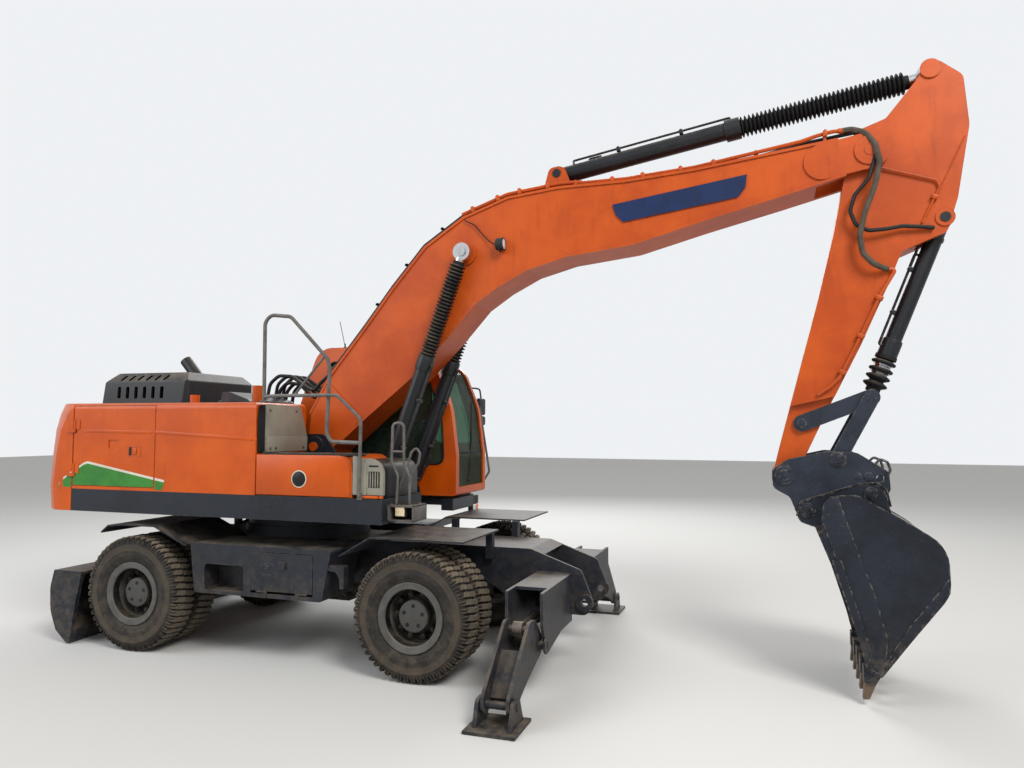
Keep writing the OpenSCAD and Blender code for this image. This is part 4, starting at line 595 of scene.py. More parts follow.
for nodes, finishes in (
    (("counterweight", "pump_door", "radiator_door", "cab_shell"), (ORANGE,)),
    (("body_shell",), (HOUSE_PAINT,)),
    (("boom", "arm"), (BOOM_ORANGE, CHROME)),
    (("rocker_links", "push_link", "coupler"), (LINK_PAINT,)),
    (("bucket",), (BUCKET_PAINT,)),
    (("platform",), (DECK_PAINT,)),
    (("chassis", "outrigger_beam", "mudguards", "side_boxes", "side_box_door", "blade"), (FRAME_PAINT,)),
    (("front_axle", "rear_axle", "drivetrain", "knuckle_left", "knuckle_right", "engine"), (CASTING,)),
    (("boom_barrels", "blade_barrels", "arm_barrel", "bucket_barrel"), (BARREL_PAINT,)),
    (("steering_rod", "blade_rods", "boom_rods", "arm_rod", "bucket_rod"), (CHROME,)),
    (("engine_hood", "tool_box_lid"), (HOOD_PAINT,)),
    (("cab_glass",), (GLASS,)),
    (("cab_door",), (ORANGE, GLASS)),
    (("rim_front_left", "rim_front_right"), (RIMS_WITH_PAINTED_SHADE["front"],)),
    (("rim_rear_left", "rim_rear_right"), (RIMS_WITH_PAINTED_SHADE["rear"],)),
    (tuple(f"{n}_{s}" for n in ("leg", "leg_barrel", "pad") for s in SIDES), (FRAME_PAINT,)),
    (tuple(f"leg_rod_{s}" for s in SIDES), (WORN_STEEL,)),
):
    for node in nodes:
        coat_node(node, *finishes)


# ---------------------------------------------------------------- tyres

TYRE_MIDDLES = (.8225, 1.1175)
TREAD_BLOCKS = 52
BLOCK_WIDTH = .88  # against the outline's own width


def tread_block():
    """One block of a shoulder row, its long side across the tread, notched where the shoulder is cut."""
    outline = [(-.021, .129), (-.006, .129), (-.005, .112), (.005, .112), (.006, .129), (.021, .129), (.023, .088),
               (.034, .062), (.034, .008), (-.010, .004), (-.013, .044), (-.024, .066)]
    piece = extruded([(u * BLOCK_WIDTH, v, .496 if v < .12 else .462) for u, v in outline], (0, 0, .03))
    for vertex in piece.data.vertices[len(outline):]:
        vertex.co.z = .5265 if vertex.co.y < .1 else (.521 if vertex.co.y < .12 else .506)
        if vertex.co.y > .12:
            vertex.co.y = .126
    for vertex in piece.data.vertices[:len(outline)]:
        if vertex.co.y > .12:
            vertex.co.y = .1325
    outwards(piece)
    bevelled(piece, .003, 1, 40)
    return piece


def make_tyre(middle):
    """One tyre: a spun carcass with bead rings and two staggered rows of blocks, its middle at y."""
    half = [(.262, .088), (.288, .099), (.296, .110), (.304, .108), (.318, .119), (.350, .128), (.356, .131),
            (.362, .1295), (.405, .1325), (.440, .131), (.446, .133), (.454, .1295), (.474, .124), (.490, .112),
            (.501, .085), (.5055, .04)]
    profile = half + [(.506, 0)] + [(r, -a) for r, a in reversed(half)] + [(.258, 0)]
    carcass = lathe(profile, (0, middle, 0), (0, 1, 0), 72)
    turns = [Matrix.Rotation(math.tau * k / TREAD_BLOCKS, 4, "Y") for k in range(1, TREAD_BLOCKS)]
    ring = joined(copies(tread_block(), turns))
    half_turn = Matrix.Rotation(math.pi, 4, "Z") @ Matrix.Rotation(math.pi / TREAD_BLOCKS, 4, "Y")
    ring = joined(copies(ring, [half_turn]))
    ring.data.transform(Matrix.Translation(SLEW + vec(0, middle, 0)))
    smooth(ring, 30)
    smooth(carcass, 40)
    return joined([carcass, ring])


inner = make_tyre(TYRE_MIDDLES[0])
outer = copies(inner, [(0, TYRE_MIDDLES[1] - TYRE_MIDDLES[0], 0)])[1]
outer.data.transform(about((0, 0, 0), (0, 1, 0), 3))
twin = joined([inner, outer])
twin.data.transform(Matrix.Translation((AXLES["rear"], 0, AXLE_HEIGHT)))
wheelbase = vec(AXLES["front"] - AXLES["rear"], 0, 0)
tyres = copies(twin, [wheelbase, MIRROR_Y, Matrix.Translation(wheelbase) @ MIRROR_Y])
for piece, (end, side) in zip(tyres, (("rear", "left"), ("front", "left"), ("rear", "right"), ("front", "right"))):
    dressed(piece, f"twin_tyres_{end}_{side}", TYRE)
    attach(piece, f"wheel_{end}_{side}")
    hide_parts(f"tyre_{end}_{side}")


def round_axle(x, y, radius, count, turn=0.0):
    """Places at even steps round an axle."""
    return [vec(x + radius * math.cos(a), y, AXLE_HEIGHT + radius * math.sin(a)) for a in
            (math.tau * k / count + turn for k in range(count))]


# each wheel's hub cover with black discs as painted shade in its holes, its nuts, the rim's bead and the valve
for end, x in AXLES.items():
    cover = lathe([(0.0, .004), (.120, .004), (.128, .001), (.1325, -.007), (.1325, -.055), (0.0, -.055)],
                  (x, 1.170, AXLE_HEIGHT), (0, 1, 0), 48)
    # the five holes in the hub disc are black discs: painted shade where one looks into the hub
    holes = joined([drum(p - vec(0, .004, 0), p + vec(0, .001, 0), .017, 20) for p in
                    round_axle(x, 1.1745, .086, 5, .3)])
    heads = bolts(round_axle(x, 1.105, .178, 10), (0, 1, 0), .015)
    bead = lathe([(.224, -.05), (.2255, 0), (.229, .022), (.238, .0315), (.252, .0335), (.268, .035), (.280, .0395),
                  (.2875, .038), (.290, .030), (.288, .022), (.262, .010)], (x, 1.2, AXLE_HEIGHT), (0, 1, 0), 64)
    valve = tube([(x + .205, 1.13, AXLE_HEIGHT), (x + .212, 1.175, AXLE_HEIGHT), (x + .220, 1.215, AXLE_HEIGHT)],
                 .006, .02)
    for piece, label, finish in ((cover, "hub_cover", RIMS_WITH_PAINTED_SHADE[end]), (holes, "hub_plugs", BLACK_RUBBER_AND_PAINTED_SHADE),
                                 (heads, "wheel_nuts", CASTING), (bead, "rim_bead", RIMS_WITH_PAINTED_SHADE[end]),
                                 (valve, "tyre_valve", HOSE)):
        for twin, side in zip(both(piece), SIDES):
            fit(twin, f"{label}_{end}_{side}", f"wheel_{end}_{side}", finish)


# ---------------------------------------------------------------- cylinders' bellows

# each cylinder's base and eye, its barrel's length and radius, its places across, and its barrel's body
CYLINDERS = {
    "boom": (vec(.980, 0, 1.425), vec(1.815, 0, 3.735), 1.42, .068, (-.316, .316), "boom_barrels"),
    "arm": (vec(2.680, 0, 4.470), vec(5.825, 0, 5.000), 1.68, .078, (0,), "arm_barrel"),
    "bucket": (vec(5.905, 0, 3.775), vec(5.340, 0, 2.340), 1.17, .066, (0,), "bucket_barrel"),
}


def bellows(base, axis, start, end, inner, outer, pleats):
    """A pleated rubber sleeve along a cylinder, with a clamp on each end."""
    pitch = (end - start) / pleats
    profile = [(inner - .006, start - .03), (outer - .012, start - .03), (outer - .012, start)]
    for k in range(pleats):
        z = start + pitch * k
        profile += [(inner, z + pitch * .06), (outer - .004, z + pitch * .36), (outer, z + pitch * .5),
                    (outer - .004, z + pitch * .64), (inner, z + pitch * .94)]
    profile += [(inner, end), (inner, end + .03), (inner - .006, end + .03)]
    return smooth(lathe(profile, base, axis, 28), 50)


# start, end and fade are lengths from the base, or from the eye where they are negative
for kind, name, rod, hidden, start, end, fade, inner, outer, pleats in (
    ("boom", "boom_cylinder_bellows", "boom_rods", ("boom_boots",), 1.42, -.125, -.1, .052, .080, 27),
    ("arm", "arm_cylinder_bellows", "arm_rod", ("arm_boot",), 1.68, -.17, -.15, .058, .094, 38),
    ("bucket", "bucket_cylinder_boot", "bucket_rod", (), 1.20, 1.455, 1.44, .058, .098, 4),
):
    base, eye, _, _, places, barrel = CYLINDERS[kind]
    axis, reach = (eye - base).normalized(), (eye - base).length
    end, fade = (t if t > 0 else reach + t for t in (end, fade))
    sleeves = [bellows(base + vec(0, y, 0), axis, start, end, inner, outer, pleats) for y in places]
    stretch(sleeves, name, BOOT, barrel, rod, base + axis * start, base + axis * fade, hidden)


# ---------------------------------------------------------------- pipes and hoses on the boom and arm

BOOM_STATIONS = [(.300, 2.075, .470), (.560, 2.390, .610), (1.010, 2.830, .740), (1.330, 3.190, .790),
                 (1.640, 3.540, .800), (1.960, 3.750, .790), (2.330, 3.900, .740), (2.760, 3.975, .670),
                 (3.380, 4.010, .600), (4.000, 4.115, .480), (4.640, 4.230, .400), (5.150, 4.325, .330)]


def boom_back(i, y, lift=.034):
    """A place on the boom's back at one of its stations."""
    x, z, depth = BOOM_STATIONS[i]
    before, after = BOOM_STATIONS[max(i - 1, 0)], BOOM_STATIONS[min(i + 1, len(BOOM_STATIONS) - 1)]
    run = vec(after[0] - before[0], 0, after[1] - before[1]).normalized()
    up = vec(-run.z, 0, run.x)
    return vec(x, y, z) + up * (depth / 2 + lift)


def clamp(at, radius, run, up):
    """A split pipe clamp on its pad, with one bolt on each side."""
    run, up = Vector(run).normalized(), Vector(up).normalized()
    body = block((-radius - .016, -.018, -radius - .013), (radius + .016, .018, radius + .006), .005)
    heads = [bolt((s * (radius + .009), 0, radius + .005), (0, 0, 1), .006, washer=False) for s in (-1, 1)]
    return placed(joined([body] + heads), at, run, up)


PIPE_OUT = .206  # the pipes' ends stand beside the arm, which folds up between them
pipes, clamps = [], []
for y in (-.150, .150):
    out = math.copysign(PIPE_OUT, y)
    pipes.append(tube([boom_back(i, y) for i in range(5, 10)] + [boom_back(10, out), (4.83, out, 4.495),
                      (4.96, out, 4.53), (5.08, out, 4.552), (5.14, out, 4.550)], .017, .2))
    pipes.append(drum((5.12, out, 4.551), (5.165, out, 4.549), .024, 6, .002))
    pipes.append(tube([(5.02, out, 4.54), (5.02, out, 4.44)], .012, 0))
    clamps.append(clamp((5.02, out, 4.541), .017, (1, 0, .2), (0, 0, 1)))
for y in (-.195, .195):
    pipes.append(tube([boom_back(i, y) for i in range(5, 8)] + [boom_back(7, y) + vec(.12, 0, 0),
                      boom_back(7, y * .6) + vec(.2, 0, .02)], .017, .12))
for i in range(5, 10):
    a, b = boom_back(i, 0), boom_back(i + 1, 0)
    up = vec(-(b - a).z, 0, (b - a).x)
    for t in (.25, .8):
        for y in (-.150, .150) + ((-.195, .195) if i < 7 else ()):
            clamps.append(clamp(a.lerp(b, t) + vec(0, y, 0), .017, b - a, up))
fit(pipes, "boom_steel_pipes", "boom", BOOM_ORANGE, 40, ("boom_lines",))
fit(clamps, "boom_pipe_clamps", "boom", BOOM_ORANGE)

# hoses from the deck over the boom's foot, then along its back to the pipes
hoses = []
ARCHES = (((-.47, 1.60), (-.455, 2.20), (-.44, 2.40), (-.41, 2.53), (-.30, 2.612), (-.14, 2.602), (.02, 2.50),
           (.125, 2.44), (.208, 2.53)),
          ((-.41, 1.60), (-.385, 2.20), (-.345, 2.455), (-.25, 2.545), (-.08, 2.518), (.045, 2.41), (.13, 2.372),
           (.198, 2.49)))
for k, (y, spread) in enumerate(((-.165, -.13), (-.10, -.06), (-.035, .01), (.035, .07), (.10, .13), (.165, .19))):
    arch = ARCHES[k % 2]
    line = [vec(x, spread + (y - spread) * min(i / 5, 1), z) for i, (x, z) in enumerate(arch)]
    line += [boom_back(i, y, .028) for i in (1, 2, 3, 4, 5)]
    hoses.append(tube(line, .0185, .12))
stretch(hoses, "boom_foot_hoses", HOSE, "upper", "boom", vec(-.35, 0, 2.2), vec(.40, 0, 2.65))
straps = []
for i in (2, 3, 4):
    a, b = boom_back(i, 0, .02), boom_back(i + 1, 0, .02)
    up = vec(-(b - a).z, 0, (b - a).x).normalized()
    bar = block((-.215, -.02, -.02), (.215, .02, -.006), .003)
    lid = block((-.2, -.016, .028), (.2, .016, .036), .003)
    heads = bolts([(s, 0, .036) for s in (-.19, -.06, .06, .19)], (0, 0, 1), .008)
    straps.append(placed(joined([bar, lid, heads]), a.lerp(b, .5), (b - a).normalized(), up))
fit(straps, "boom_hose_straps", "boom", FRAME_PAINT)

# hoses across the boom's tip to the arm's pipes and to the bucket cylinder
hoses, sleeves = [], []
for side in (-1, 1):
    sleeves.append(tube(aside(side, (
        (5.15, PIPE_OUT, 4.550), (5.225, .208, 4.555), (5.32, .222, 4.515), (5.395, .250, 4.40), (5.425, .275, 4.24),
        (5.385, .28, 4.05), (5.305, .277, 3.83), (5.264, .27, 3.65), (5.285, .262, 3.505), (5.36, .25, 3.42),
        (5.44, .215, 3.382), (5.475, .197, 3.376))), .0235, .09))
    start = boom_back(10, side * .1)
    ends = [start + vec(-.1, 0, -.02), start + vec(.25, 0, .05)]
    hoses.append(tube(ends + aside(side, (
        (5.30, .204, 4.53), (5.405, .236, 4.33), (5.345, .246, 4.12), (5.235, .248, 3.99), (5.197, .246, 3.86),
        (5.24, .24, 3.745), (5.335, .234, 3.692), (5.46, .224, 3.697), (5.59, .214, 3.715), (5.72, .202, 3.702),
        (5.82, .188, 3.69))), .0165, .08))
for parts, label, finish in ((hoses, "boom_tip_hoses", HOSE), (sleeves, "boom_tip_sleeves", SLEEVE)):
    stretch(parts, label, finish, "boom", "arm", vec(5.30, 0, 4.62), vec(5.34, 0, 3.80))

pipes, clamps = [], []
for side in (-1, 1):
    y = side * .195
    line = [Vector(p) for p in ((5.46, y, 3.378), (5.535, y, 3.37), (5.43, y, 3.19), (5.21, y, 2.72), (5.10, y, 2.50),
                                (5.02, y, 2.42), (4.93, y * .92, 2.36))]
    pipes.append(tube(line, .015, .09))
    pipes.append(tube(aside(side, ((5.43, .186, 4.22), (5.845, .184, 4.075), (5.868, .184, 4.02),
                                   (5.735, .184, 3.735))), .009, .03))
    # the weld along the arm's folded back
    pipes.append(tube(aside(side, ((6.06, .166, 4.42), (5.775, .166, 3.80))), .006, 0))
    for a, b, ts in ((line[2], line[3], (.1, .75)), (line[3], line[4], (.8,))):
        for t in ts:
            clamps.append(clamp(a.lerp(b, t), .015, b - a, (0, side, 0)))
    clamps.append(clamp((5.83, side * .184, 3.94), .009, (.13, 0, .28), (0, side, 0)))
fit(pipes, "arm_steel_pipes", "arm", BOOM_ORANGE, 40, ("arm_lines",))
fit(clamps, "arm_pipe_clamps", "arm", BOOM_ORANGE)


def ribbon(points, thickness, y0, y1):
    """A strip of plate that follows points in XZ."""
    there, back = [], []
    for i, (x, z) in enumerate(points):
        a, b = points[max(i - 1, 0)], points[min(i + 1, len(points) - 1)]
        run = vec(b[0] - a[0], 0, b[1] - a[1]).normalized()
        there.append((x - run.z * thickness / 2, z + run.x * thickness / 2))
        back.append((x + run.z * thickness / 2, z - run.x * thickness / 2))
    return plate(there + back[::-1], 1, y0, y1, .002)


# the bucket's side plates with their welded heel corners, and the curved lips of its hanger plates
SIDE_PLATE = [(4.985, 1.562), (5.045, 1.562), (5.175, 1.16), (5.285, .85), (5.37, .52), (5.348, .285), (5.318, .243),
              (5.228, .29), (5.21, .49), (4.922, 1.375), (4.935, 1.50)]
HEEL_PLATE = [(5.782, .985), (5.792, .88), (5.524, .522), (5.33, .262), (5.352, .35), (5.52, .63), (5.70, .87)]
BUCKET_SIDE = (.590, .598)
HANGER_LIP = (.214, .258)
extra = []
for side in (-1, 1):
    low, high = sorted(side * y for y in BUCKET_SIDE)
    extra += [plate(SIDE_PLATE, 1, low, high, .002), plate(HEEL_PLATE, 1, low, high, .002)]
    low, high = sorted(side * y for y in HANGER_LIP)
    extra.append(ribbon([(4.752, 1.37), (4.775, 1.46), (4.86, 1.515), (4.96, 1.546), (5.10, 1.598), (5.22, 1.643),
                         (5.36, 1.652), (5.425, 1.60), (5.452, 1.47)], .014, low, high))
    for x, z, r in ((4.835, 1.418, .062), (5.31, 1.564, .058)):
        extra += [disc(x, z, side * .248, side * .262, r), disc(x, z, side * .260, side * .272, r * .62),
                  bolt((x + r * .3, side * .272, z + r * .2), (0, side, 0), .011)]
fit(extra, "bucket_side_plates", "coupler", BUCKET_PAINT, angle=30)
pins = []
for side in (-1, 1):
    for x, z, r in ((4.66, 1.70, .075), (5.077, 1.836, .055)):
        pins += [disc(x, z, side * .224, side * .236, r, 36), disc(x, z, side * .234, side * .243, r * .55),
                 bolt((x + r * .55, side * .236, z + r * .5), (0, side, 0), .011)]
    pins += [disc(5.30, 1.70, side * .212, side * .222, .036, 28), disc(5.22, 1.70, side * .212, side * .219, .030, 28),
             tube(aside(side, ((5.345, .222, 1.80), (5.385, .226, 1.842), (5.438, .226, 1.82), (5.458, .226, 1.755),
                               (5.432, .222, 1.70))), .011, .03)]
fit(pins, "coupler_pins_and_hook", "coupler", LINK_PAINT, angle=40)

# collars and gland nuts of the cylinders
for kind in ("boom", "bucket"):
    base, eye, length, radius, places, body = CYLINDERS[kind]
    axis = (eye - base).normalized()
    heads = []
    for y in places:
        at = base + vec(0, y, 0)
        heads += [lathe([(radius - .004, 0), (radius + .011, .006), (radius + .013, .02), (radius + .013, .125),
                         (radius + .009, .135), (radius - .01, .14)], at + axis * (length - .145), axis, 40),
                  lathe([(radius - .004, 0), (radius + .008, .004), (radius + .008, .03), (radius - .004, .034)],
                        at + axis * .13, axis, 40)]
    fit(heads, f"{body}_collars", body, BARREL_PAINT, angle=35)

# the work lamp on the boom's side, its lead clipped to the plate
lamp_at = vec(2.137, -.27, 3.796)
housing = lathe([(0, -.006), (.040, -.004), (.055, .004), (.060, .03), (.060, .076), (.057, .080), (.050, .080),
                 (.050, .070), (0, .070)], lamp_at, (1, 0, 0), 36)
yoke = tube([lamp_at + vec(.04, .034, -.062), lamp_at + vec(.04, -.01, -.075),
             lamp_at + vec(.04, -.045, -.05)], .006, .02)
lead = tube([lamp_at, lamp_at + vec(-.05, .01, .02), (2.03, -.238, 3.86), (1.90, -.236, 4.01),
             (1.80, -.236, 4.06)], .006, .05)
fit([housing, yoke], "work_lamp_housing", "boom", TRIM, angle=40)
fit(lead, "work_lamp_lead", "boom", HOSE, 40)
fit(drum(lamp_at + vec(.071, 0, 0), lamp_at + vec(.077, 0, 0), .049, 32, .002), "work_lamp_lens", "boom",
    CLEAR_LENS)

# supply pipes along the cylinders
for kind, (base, eye, length, radius, places, body) in CYLINDERS.items():
    axis = (eye - base).normalized()
    out = vec(-axis.z, 0, axis.x) * (1 if kind == "arm" else -1)
    parts = []
    for y in places:
        for k, (start, reach) in enumerate(((.16, length - .07), (.30, length - .2))):
            side = vec(0, .03 * (1 if k else -1), 0)
            a, b = (base + axis * t + out * (radius - .01) + side + vec(0, y, 0) for t in (start, reach))
            if k:
                parts.append(tube([a, a + out * .035, a + out * .035 + axis * .12, a + axis * .12], .011, .02))
                continue
            parts.append(tube([a, a + out * .036, b + out * .036, b], .011, .04))
            for t in (.3, .7):
                parts.append(clamp(a.lerp(b, t) + out * .03, .011, axis, out))
        parts.append(bolts([base + axis * (length - .004) + vec(0, y, 0) + out * (radius * .82 * math.cos(t)) +
                            vec(0, radius * .82 * math.sin(t), 0) for t in
                            (math.tau * (k + .5) / 8 for k in range(8))], axis, .009))
    fit(parts, f"{kind}_cylinder_pipes", body, BARREL_PAINT, angle=40)


# latches on the doors of the house and of the side box, each with a dark sheet as painted shade for its well
for x0, x1, z0, z1, y, body, finish, label in (
    (-1.17, -1.022, 1.795, 1.896, SIDE, "pump_door", ORANGE, "pump_door_latch"),
    (.300, .445, .788, .888, -1.226, "side_box_door", FRAME_PAINT, "side_box_latch"),
):
    middle = (x0 + x1) / 2
    parts = [block((a, y - .004, b), (c, y + .004, d), .002) for a, b, c, d in (
        (x0, z0, x1, z0 + .008), (x0, z1 - .008, x1, z1), (x0, z0, x0 + .008, z1), (x1 - .008, z0, x1, z1))]
    parts += [block((middle - .022, y - .007, z0 + .02), (middle + .022, y + .002, z1 - .02), .005, 3),
              disc(middle, (z0 + z1) / 2, y - .009, y, .009, 18, .001)]
    fit(parts, label, body, finish)
    # the well is a thin dark sheet: painted shade in place of a recess
    slot = [block((x0 + .006, y - .0015, z0 + .012), (x0 + .036, y + .002, z1 - .012), 0)]
    if body == "side_box_door":
        slot.append(block((x1 - .036, y - .0015, z0 + .012), (x1 - .006, y + .002, z1 - .012), 0))
    fit(slot, f"{label}_well_painted_shade", body, DARK_FILM_AND_PAINTED_SHADE)

# the pressed crease along the house's side panels
for name, body, outline in (
    ("house_side_crease", "upper", [(-.866, 2.012), (.250, 1.955), (.250, 1.985), (-.866, 2.042)]),
    ("pump_door_crease", "pump_door", [(-1.70, 2.022), (-.90, 2.010), (-.90, 2.040), (-1.70, 2.050)]),
):
    fit(plate(outline, 1, SIDE - .0035, SIDE + .001, .0015), name, body, ORANGE, 40)


# ---------------------------------------------------------------- handrails and steps

RAIL_Y, RAIL_OUT = -1.231, -1.268
rails = [
    tube([(.305, RAIL_Y, 2.30), (.300, RAIL_Y, 3.01), (.36, RAIL_Y, 3.072), (.565, RAIL_Y, 3.05),
          (.945, RAIL_Y, 2.665), (.966, RAIL_Y, 2.58), (.945, RAIL_Y, 2.03), (.985, RAIL_Y, 1.955),
          (1.20, -1.250, 1.95), (1.288, RAIL_OUT + .008, 1.948)], .017, .09),
    tube([(.63, RAIL_Y, 2.372), (.912, RAIL_Y, 2.69)], .011, 0),
    tube([(.30, RAIL_Y, 2.345), (.42, RAIL_OUT, 2.352), (1.06, RAIL_OUT, 2.352), (1.295, RAIL_OUT, 2.15),
          (1.285, RAIL_OUT, 1.50), (1.285, -1.245, 1.50)], .015, .09),
]
feet = [drum((.305, RAIL_Y, 2.30), (.305, RAIL_Y, 2.312), .034, 20, .002),
        block((1.262, -1.262, 1.47), (1.308, -1.25, 1.53), .003),
        drum((.63, RAIL_Y, 2.36), (.63, RAIL_Y, 2.376), .02, 16, .002),
        bolts([(1.285, -1.262, 1.482), (1.285, -1.262, 1.518)], (0, -1, 0), .007)]
fit(rails, "side_handrail", "upper", RAIL_STEEL, 40, ("handrails",))
fit(feet, "side_handrail_feet", "upper", RAIL_STEEL)

# two upright loops and a slanted one over the front step
loops = [tube([(x, y, z) for x, z in line], radius, bend) for y, radius, bend, line in (
    (-1.10, .0125, .055, ((1.548, 1.43), (1.561, 1.67), (1.50, 1.79), (1.507, 2.118), (1.612, 2.118), (1.614, 1.79),
                          (1.669, 1.67), (1.671, 1.43))),
    (-1.10, .010, 0, ((1.505, 1.875), (1.613, 1.875))),
    (-.90, .0115, .03, ((1.470, 1.43), (1.478, 1.57), (1.540, 1.716), (1.586, 1.86), (1.633, 1.905), (1.671, 1.856),
                        (1.657, 1.775), (1.588, 1.659), (1.577, 1.544), (1.575, 1.43))),
)]
fit(loops, "front_step_rails", "upper", RAIL_STEEL, angle=40)
step = [block((x0, y0, z0), (x1, y1, z1), .004) for x0, y0, z0, x1, y1, z1 in (
    (1.49, -1.15, 1.412, 1.735, -.89, 1.430), (1.49, -1.15, 1.292, 1.735, -.89, 1.306),
    (1.49, -1.15, 1.292, 1.508, -.89, 1.43), (1.717, -1.15, 1.292, 1.735, -.89, 1.43),
    (1.49, -.91, 1.30, 1.735, -.89, 1.43), (1.40, -1.15, 1.300, 1.50, -.90, 1.318),
    (1.40, -1.15, 1.404, 1.50, -.90, 1.43))]
step += [bolt((x, y, 1.43), (0, 0, 1), .009) for x in (1.52, 1.70) for y in (-1.13, -.96)]
fit(step, "front_step_bracket", "upper", RAIL_STEEL)
cups = [block((1.40 + .04 * i, -1.12, 1.43), (1.412 + .04 * i, -.92, 1.438), .002) for i in range(8)]
fit(cups, "front_step_grips", "upper", TREAD)
fit([block((1.548, -1.128, 1.328), (1.65, -1.05, 1.426), .008),
     block((1.53, -1.11, 1.42), (1.66, -1.06, 1.432), .003)], "step_lamp_housing", "upper", TRIM)
fit(block((1.556, -1.140, 1.335), (1.642, -1.124, 1.420), .010, 3), "step_lamp_lens", "upper", WARM_LENS)
cab_lamp = [block((1.335, 1.075, 1.135), (1.395, 1.235, 1.235), .010)]
cab_lamp += [block((1.35, y, 1.225), (1.38, y + .03, 1.245), .003) for y in (1.10, 1.18)]
fit(cab_lamp, "cab_lamp_housing", "upper", TRIM)
for low, high, name, lens in ((1.083, 1.148, "cab_lamp_clear", CLEAR_LENS),
                              (1.158, 1.227, "cab_lamp_amber", AMBER_LENS)):
    fit(block((1.388, low, 1.143), (1.405, high, 1.227), .008, 3), name, "upper", lens)

# the bar between the windscreen's panes, and the wiper
bar = [block((1.424, .50, 1.800), (1.447, 1.205, 1.822), .004),
       tube([(1.452, .80, 1.52), (1.458, .80, 1.56), (1.440, .90, 1.98), (1.428, .915, 2.12)], .006, .03),
       block((1.425, .905, 1.86), (1.437, .925, 2.36), .003),
       drum((1.43, .80, 1.52), (1.462, .80, 1.52), .018, 20, .003)]
fit(bar, "windscreen_bar_and_wiper", "upper", BLACK_RUBBER_AND_PAINTED_SHADE, angle=40)

# the cab's grab rail and mirrors, on its left front pillar
grab = tube([(1.29, 1.27, 2.33), (1.29, 1.345, 2.33), (1.34, 1.372, 2.40), (1.48, 1.372, 1.58), (1.42, 1.345, 1.47),
             (1.42, 1.27, 1.47)], .013, .05)
fit(grab, "cab_grab_rail", "upper", RAIL_STEEL, angle=40)
arms = [tube([(1.21, 1.27, 2.48), (1.21, 1.33, 2.48), (1.25, 1.39, 2.54), (1.33, 1.44, 2.53), (1.345, 1.452, 2.40),
              (1.345, 1.452, 2.13)], .0095, .04), block((1.195, 1.268, 2.455), (1.225, 1.282, 2.505), .003)]
arms += [drum((1.345, 1.452, z - .022), (1.345, 1.452, z + .022), .017, 16, .002) for z in (2.32, 2.165)]
fit(arms, "mirror_arms", "upper", TRIM, angle=40)
MIRRORS = ((2.225, 2.42), (2.105, 2.215))
shells = [block((1.320, 1.350, low), (1.366, 1.552, high), .022, 4) for low, high in MIRRORS]
fit(shells, "mirror_shells", "upper", TRIM)
# the mirror glasses carry a painted reflection of the sky as their colour
glasses = [block((1.317, 1.362, low + .012), (1.3225, 1.540, high - .012), .002) for low, high in MIRRORS]
fit(glasses, "mirror_glasses", "upper", MIRROR_PAINTED_REFLECTION)


# ---------------------------------------------------------------- marks and fittings on the house

def corner_drop(x):
    """How far the counterweight's side lies inside the house's side at a place along it."""
    past = max(0, -1.92 - x)
    return .8 - math.sqrt(.64 - past * past)


for label, outline in (
    ("counterweight", [(-2.02, 1.495), (-2.0, 1.533), (-1.96, 1.559), (-1.92, 1.585), (-1.9, 1.598), (-1.853, 1.624),
                       (-1.853, 1.495), (-1.92, 1.495), (-1.97, 1.495)]),
    ("pump_door", [(-1.835, 1.516), (-1.835, 1.636), (-1.70, 1.712), (-1.655, 1.722), (-.872, 1.586), (-.872, 1.516)]),
    ("body_shell", [(-.854, 1.495), (-.854, 1.583), (-.745, 1.564), (-.772, 1.495)]),
):
    edge = [(x, z + .022) if 1.52 < z else (x, z) for x, z in outline]
    body = "pump_door" if label == "pump_door" else "upper"
    for points, lift, word, finish in ((edge, .0002, "pale", PALE_STRIPE), (outline, .0008, "green", GREEN_STRIPE)):
        film = plate(points, 1, SIDE - lift - .0008, SIDE - lift, 0)
        for vertex in film.data.vertices:
            vertex.co.y += corner_drop(vertex.co.x - SLEW.x)
        fit(film, f"{word}_stripe_{label}", body, finish)

fit(disc(.691, 1.632, SIDE, SIDE - .004, .075, 48, .001), "badge_rim", "upper", PALE_STRIPE)
fit(disc(.691, 1.632, SIDE, SIDE - .0055, .066, 48, .001), "badge_face", "upper", DARK_FILM_AND_PAINTED_SHADE)

BAND_FACES = (.2292, .2305)
band = [(3.230, 4.090), (4.395, 4.252), (4.382, 4.141), (4.318, 4.062), (3.325, 3.925), (3.262, 3.992)]
for side, word in ((-1, "right"), (1, "left")):
    fit(plate(band, 1, *sorted(side * y for y in BAND_FACES), 0), f"boom_name_band_{word}", "boom", NAVY_FILM)


def arched(x0, x1, z0, z1, radius, steps=8):
    """A side outline whose upper front corner is round."""
    arc = [(x1 - radius + radius * math.sin(a), z1 - radius + radius * math.cos(a)) for a in
           (math.pi / 2 * k / steps for k in range(steps + 1))]
    return [(x0, z0), (x0, z1)] + arc + [(x1, z0)]


# the tool box ahead of the house, its rounded end lipped over
box_wall = plate(arched(.249, 1.186, 1.488, 1.838, .118), 1, SIDE, SIDE + .03, .008)
box_body = plate(arched(.2485, 1.172, 1.486, 1.832, .11), 1, SIDE + .028, -.50, .004)
lip = plate(arched(.25, 1.204, 1.482, 1.8355, .132), 1, SIDE + .012, SIDE + .07, .006)
fit([box_wall, box_body, lip], "tool_box_shell", "upper", ORANGE, 40, ("tool_box",))
hinges = []
for y in (SIDE + .15, -.88):
    hinges += [block((.268, y, 1.83), (.292, y + .03, 1.851), .003), disc(.28, 1.849, y, y + .03, .008, 16, 0)]
fit(hinges, "tool_box_hinges", "upper", BLACK_RUBBER_AND_PAINTED_SHADE)

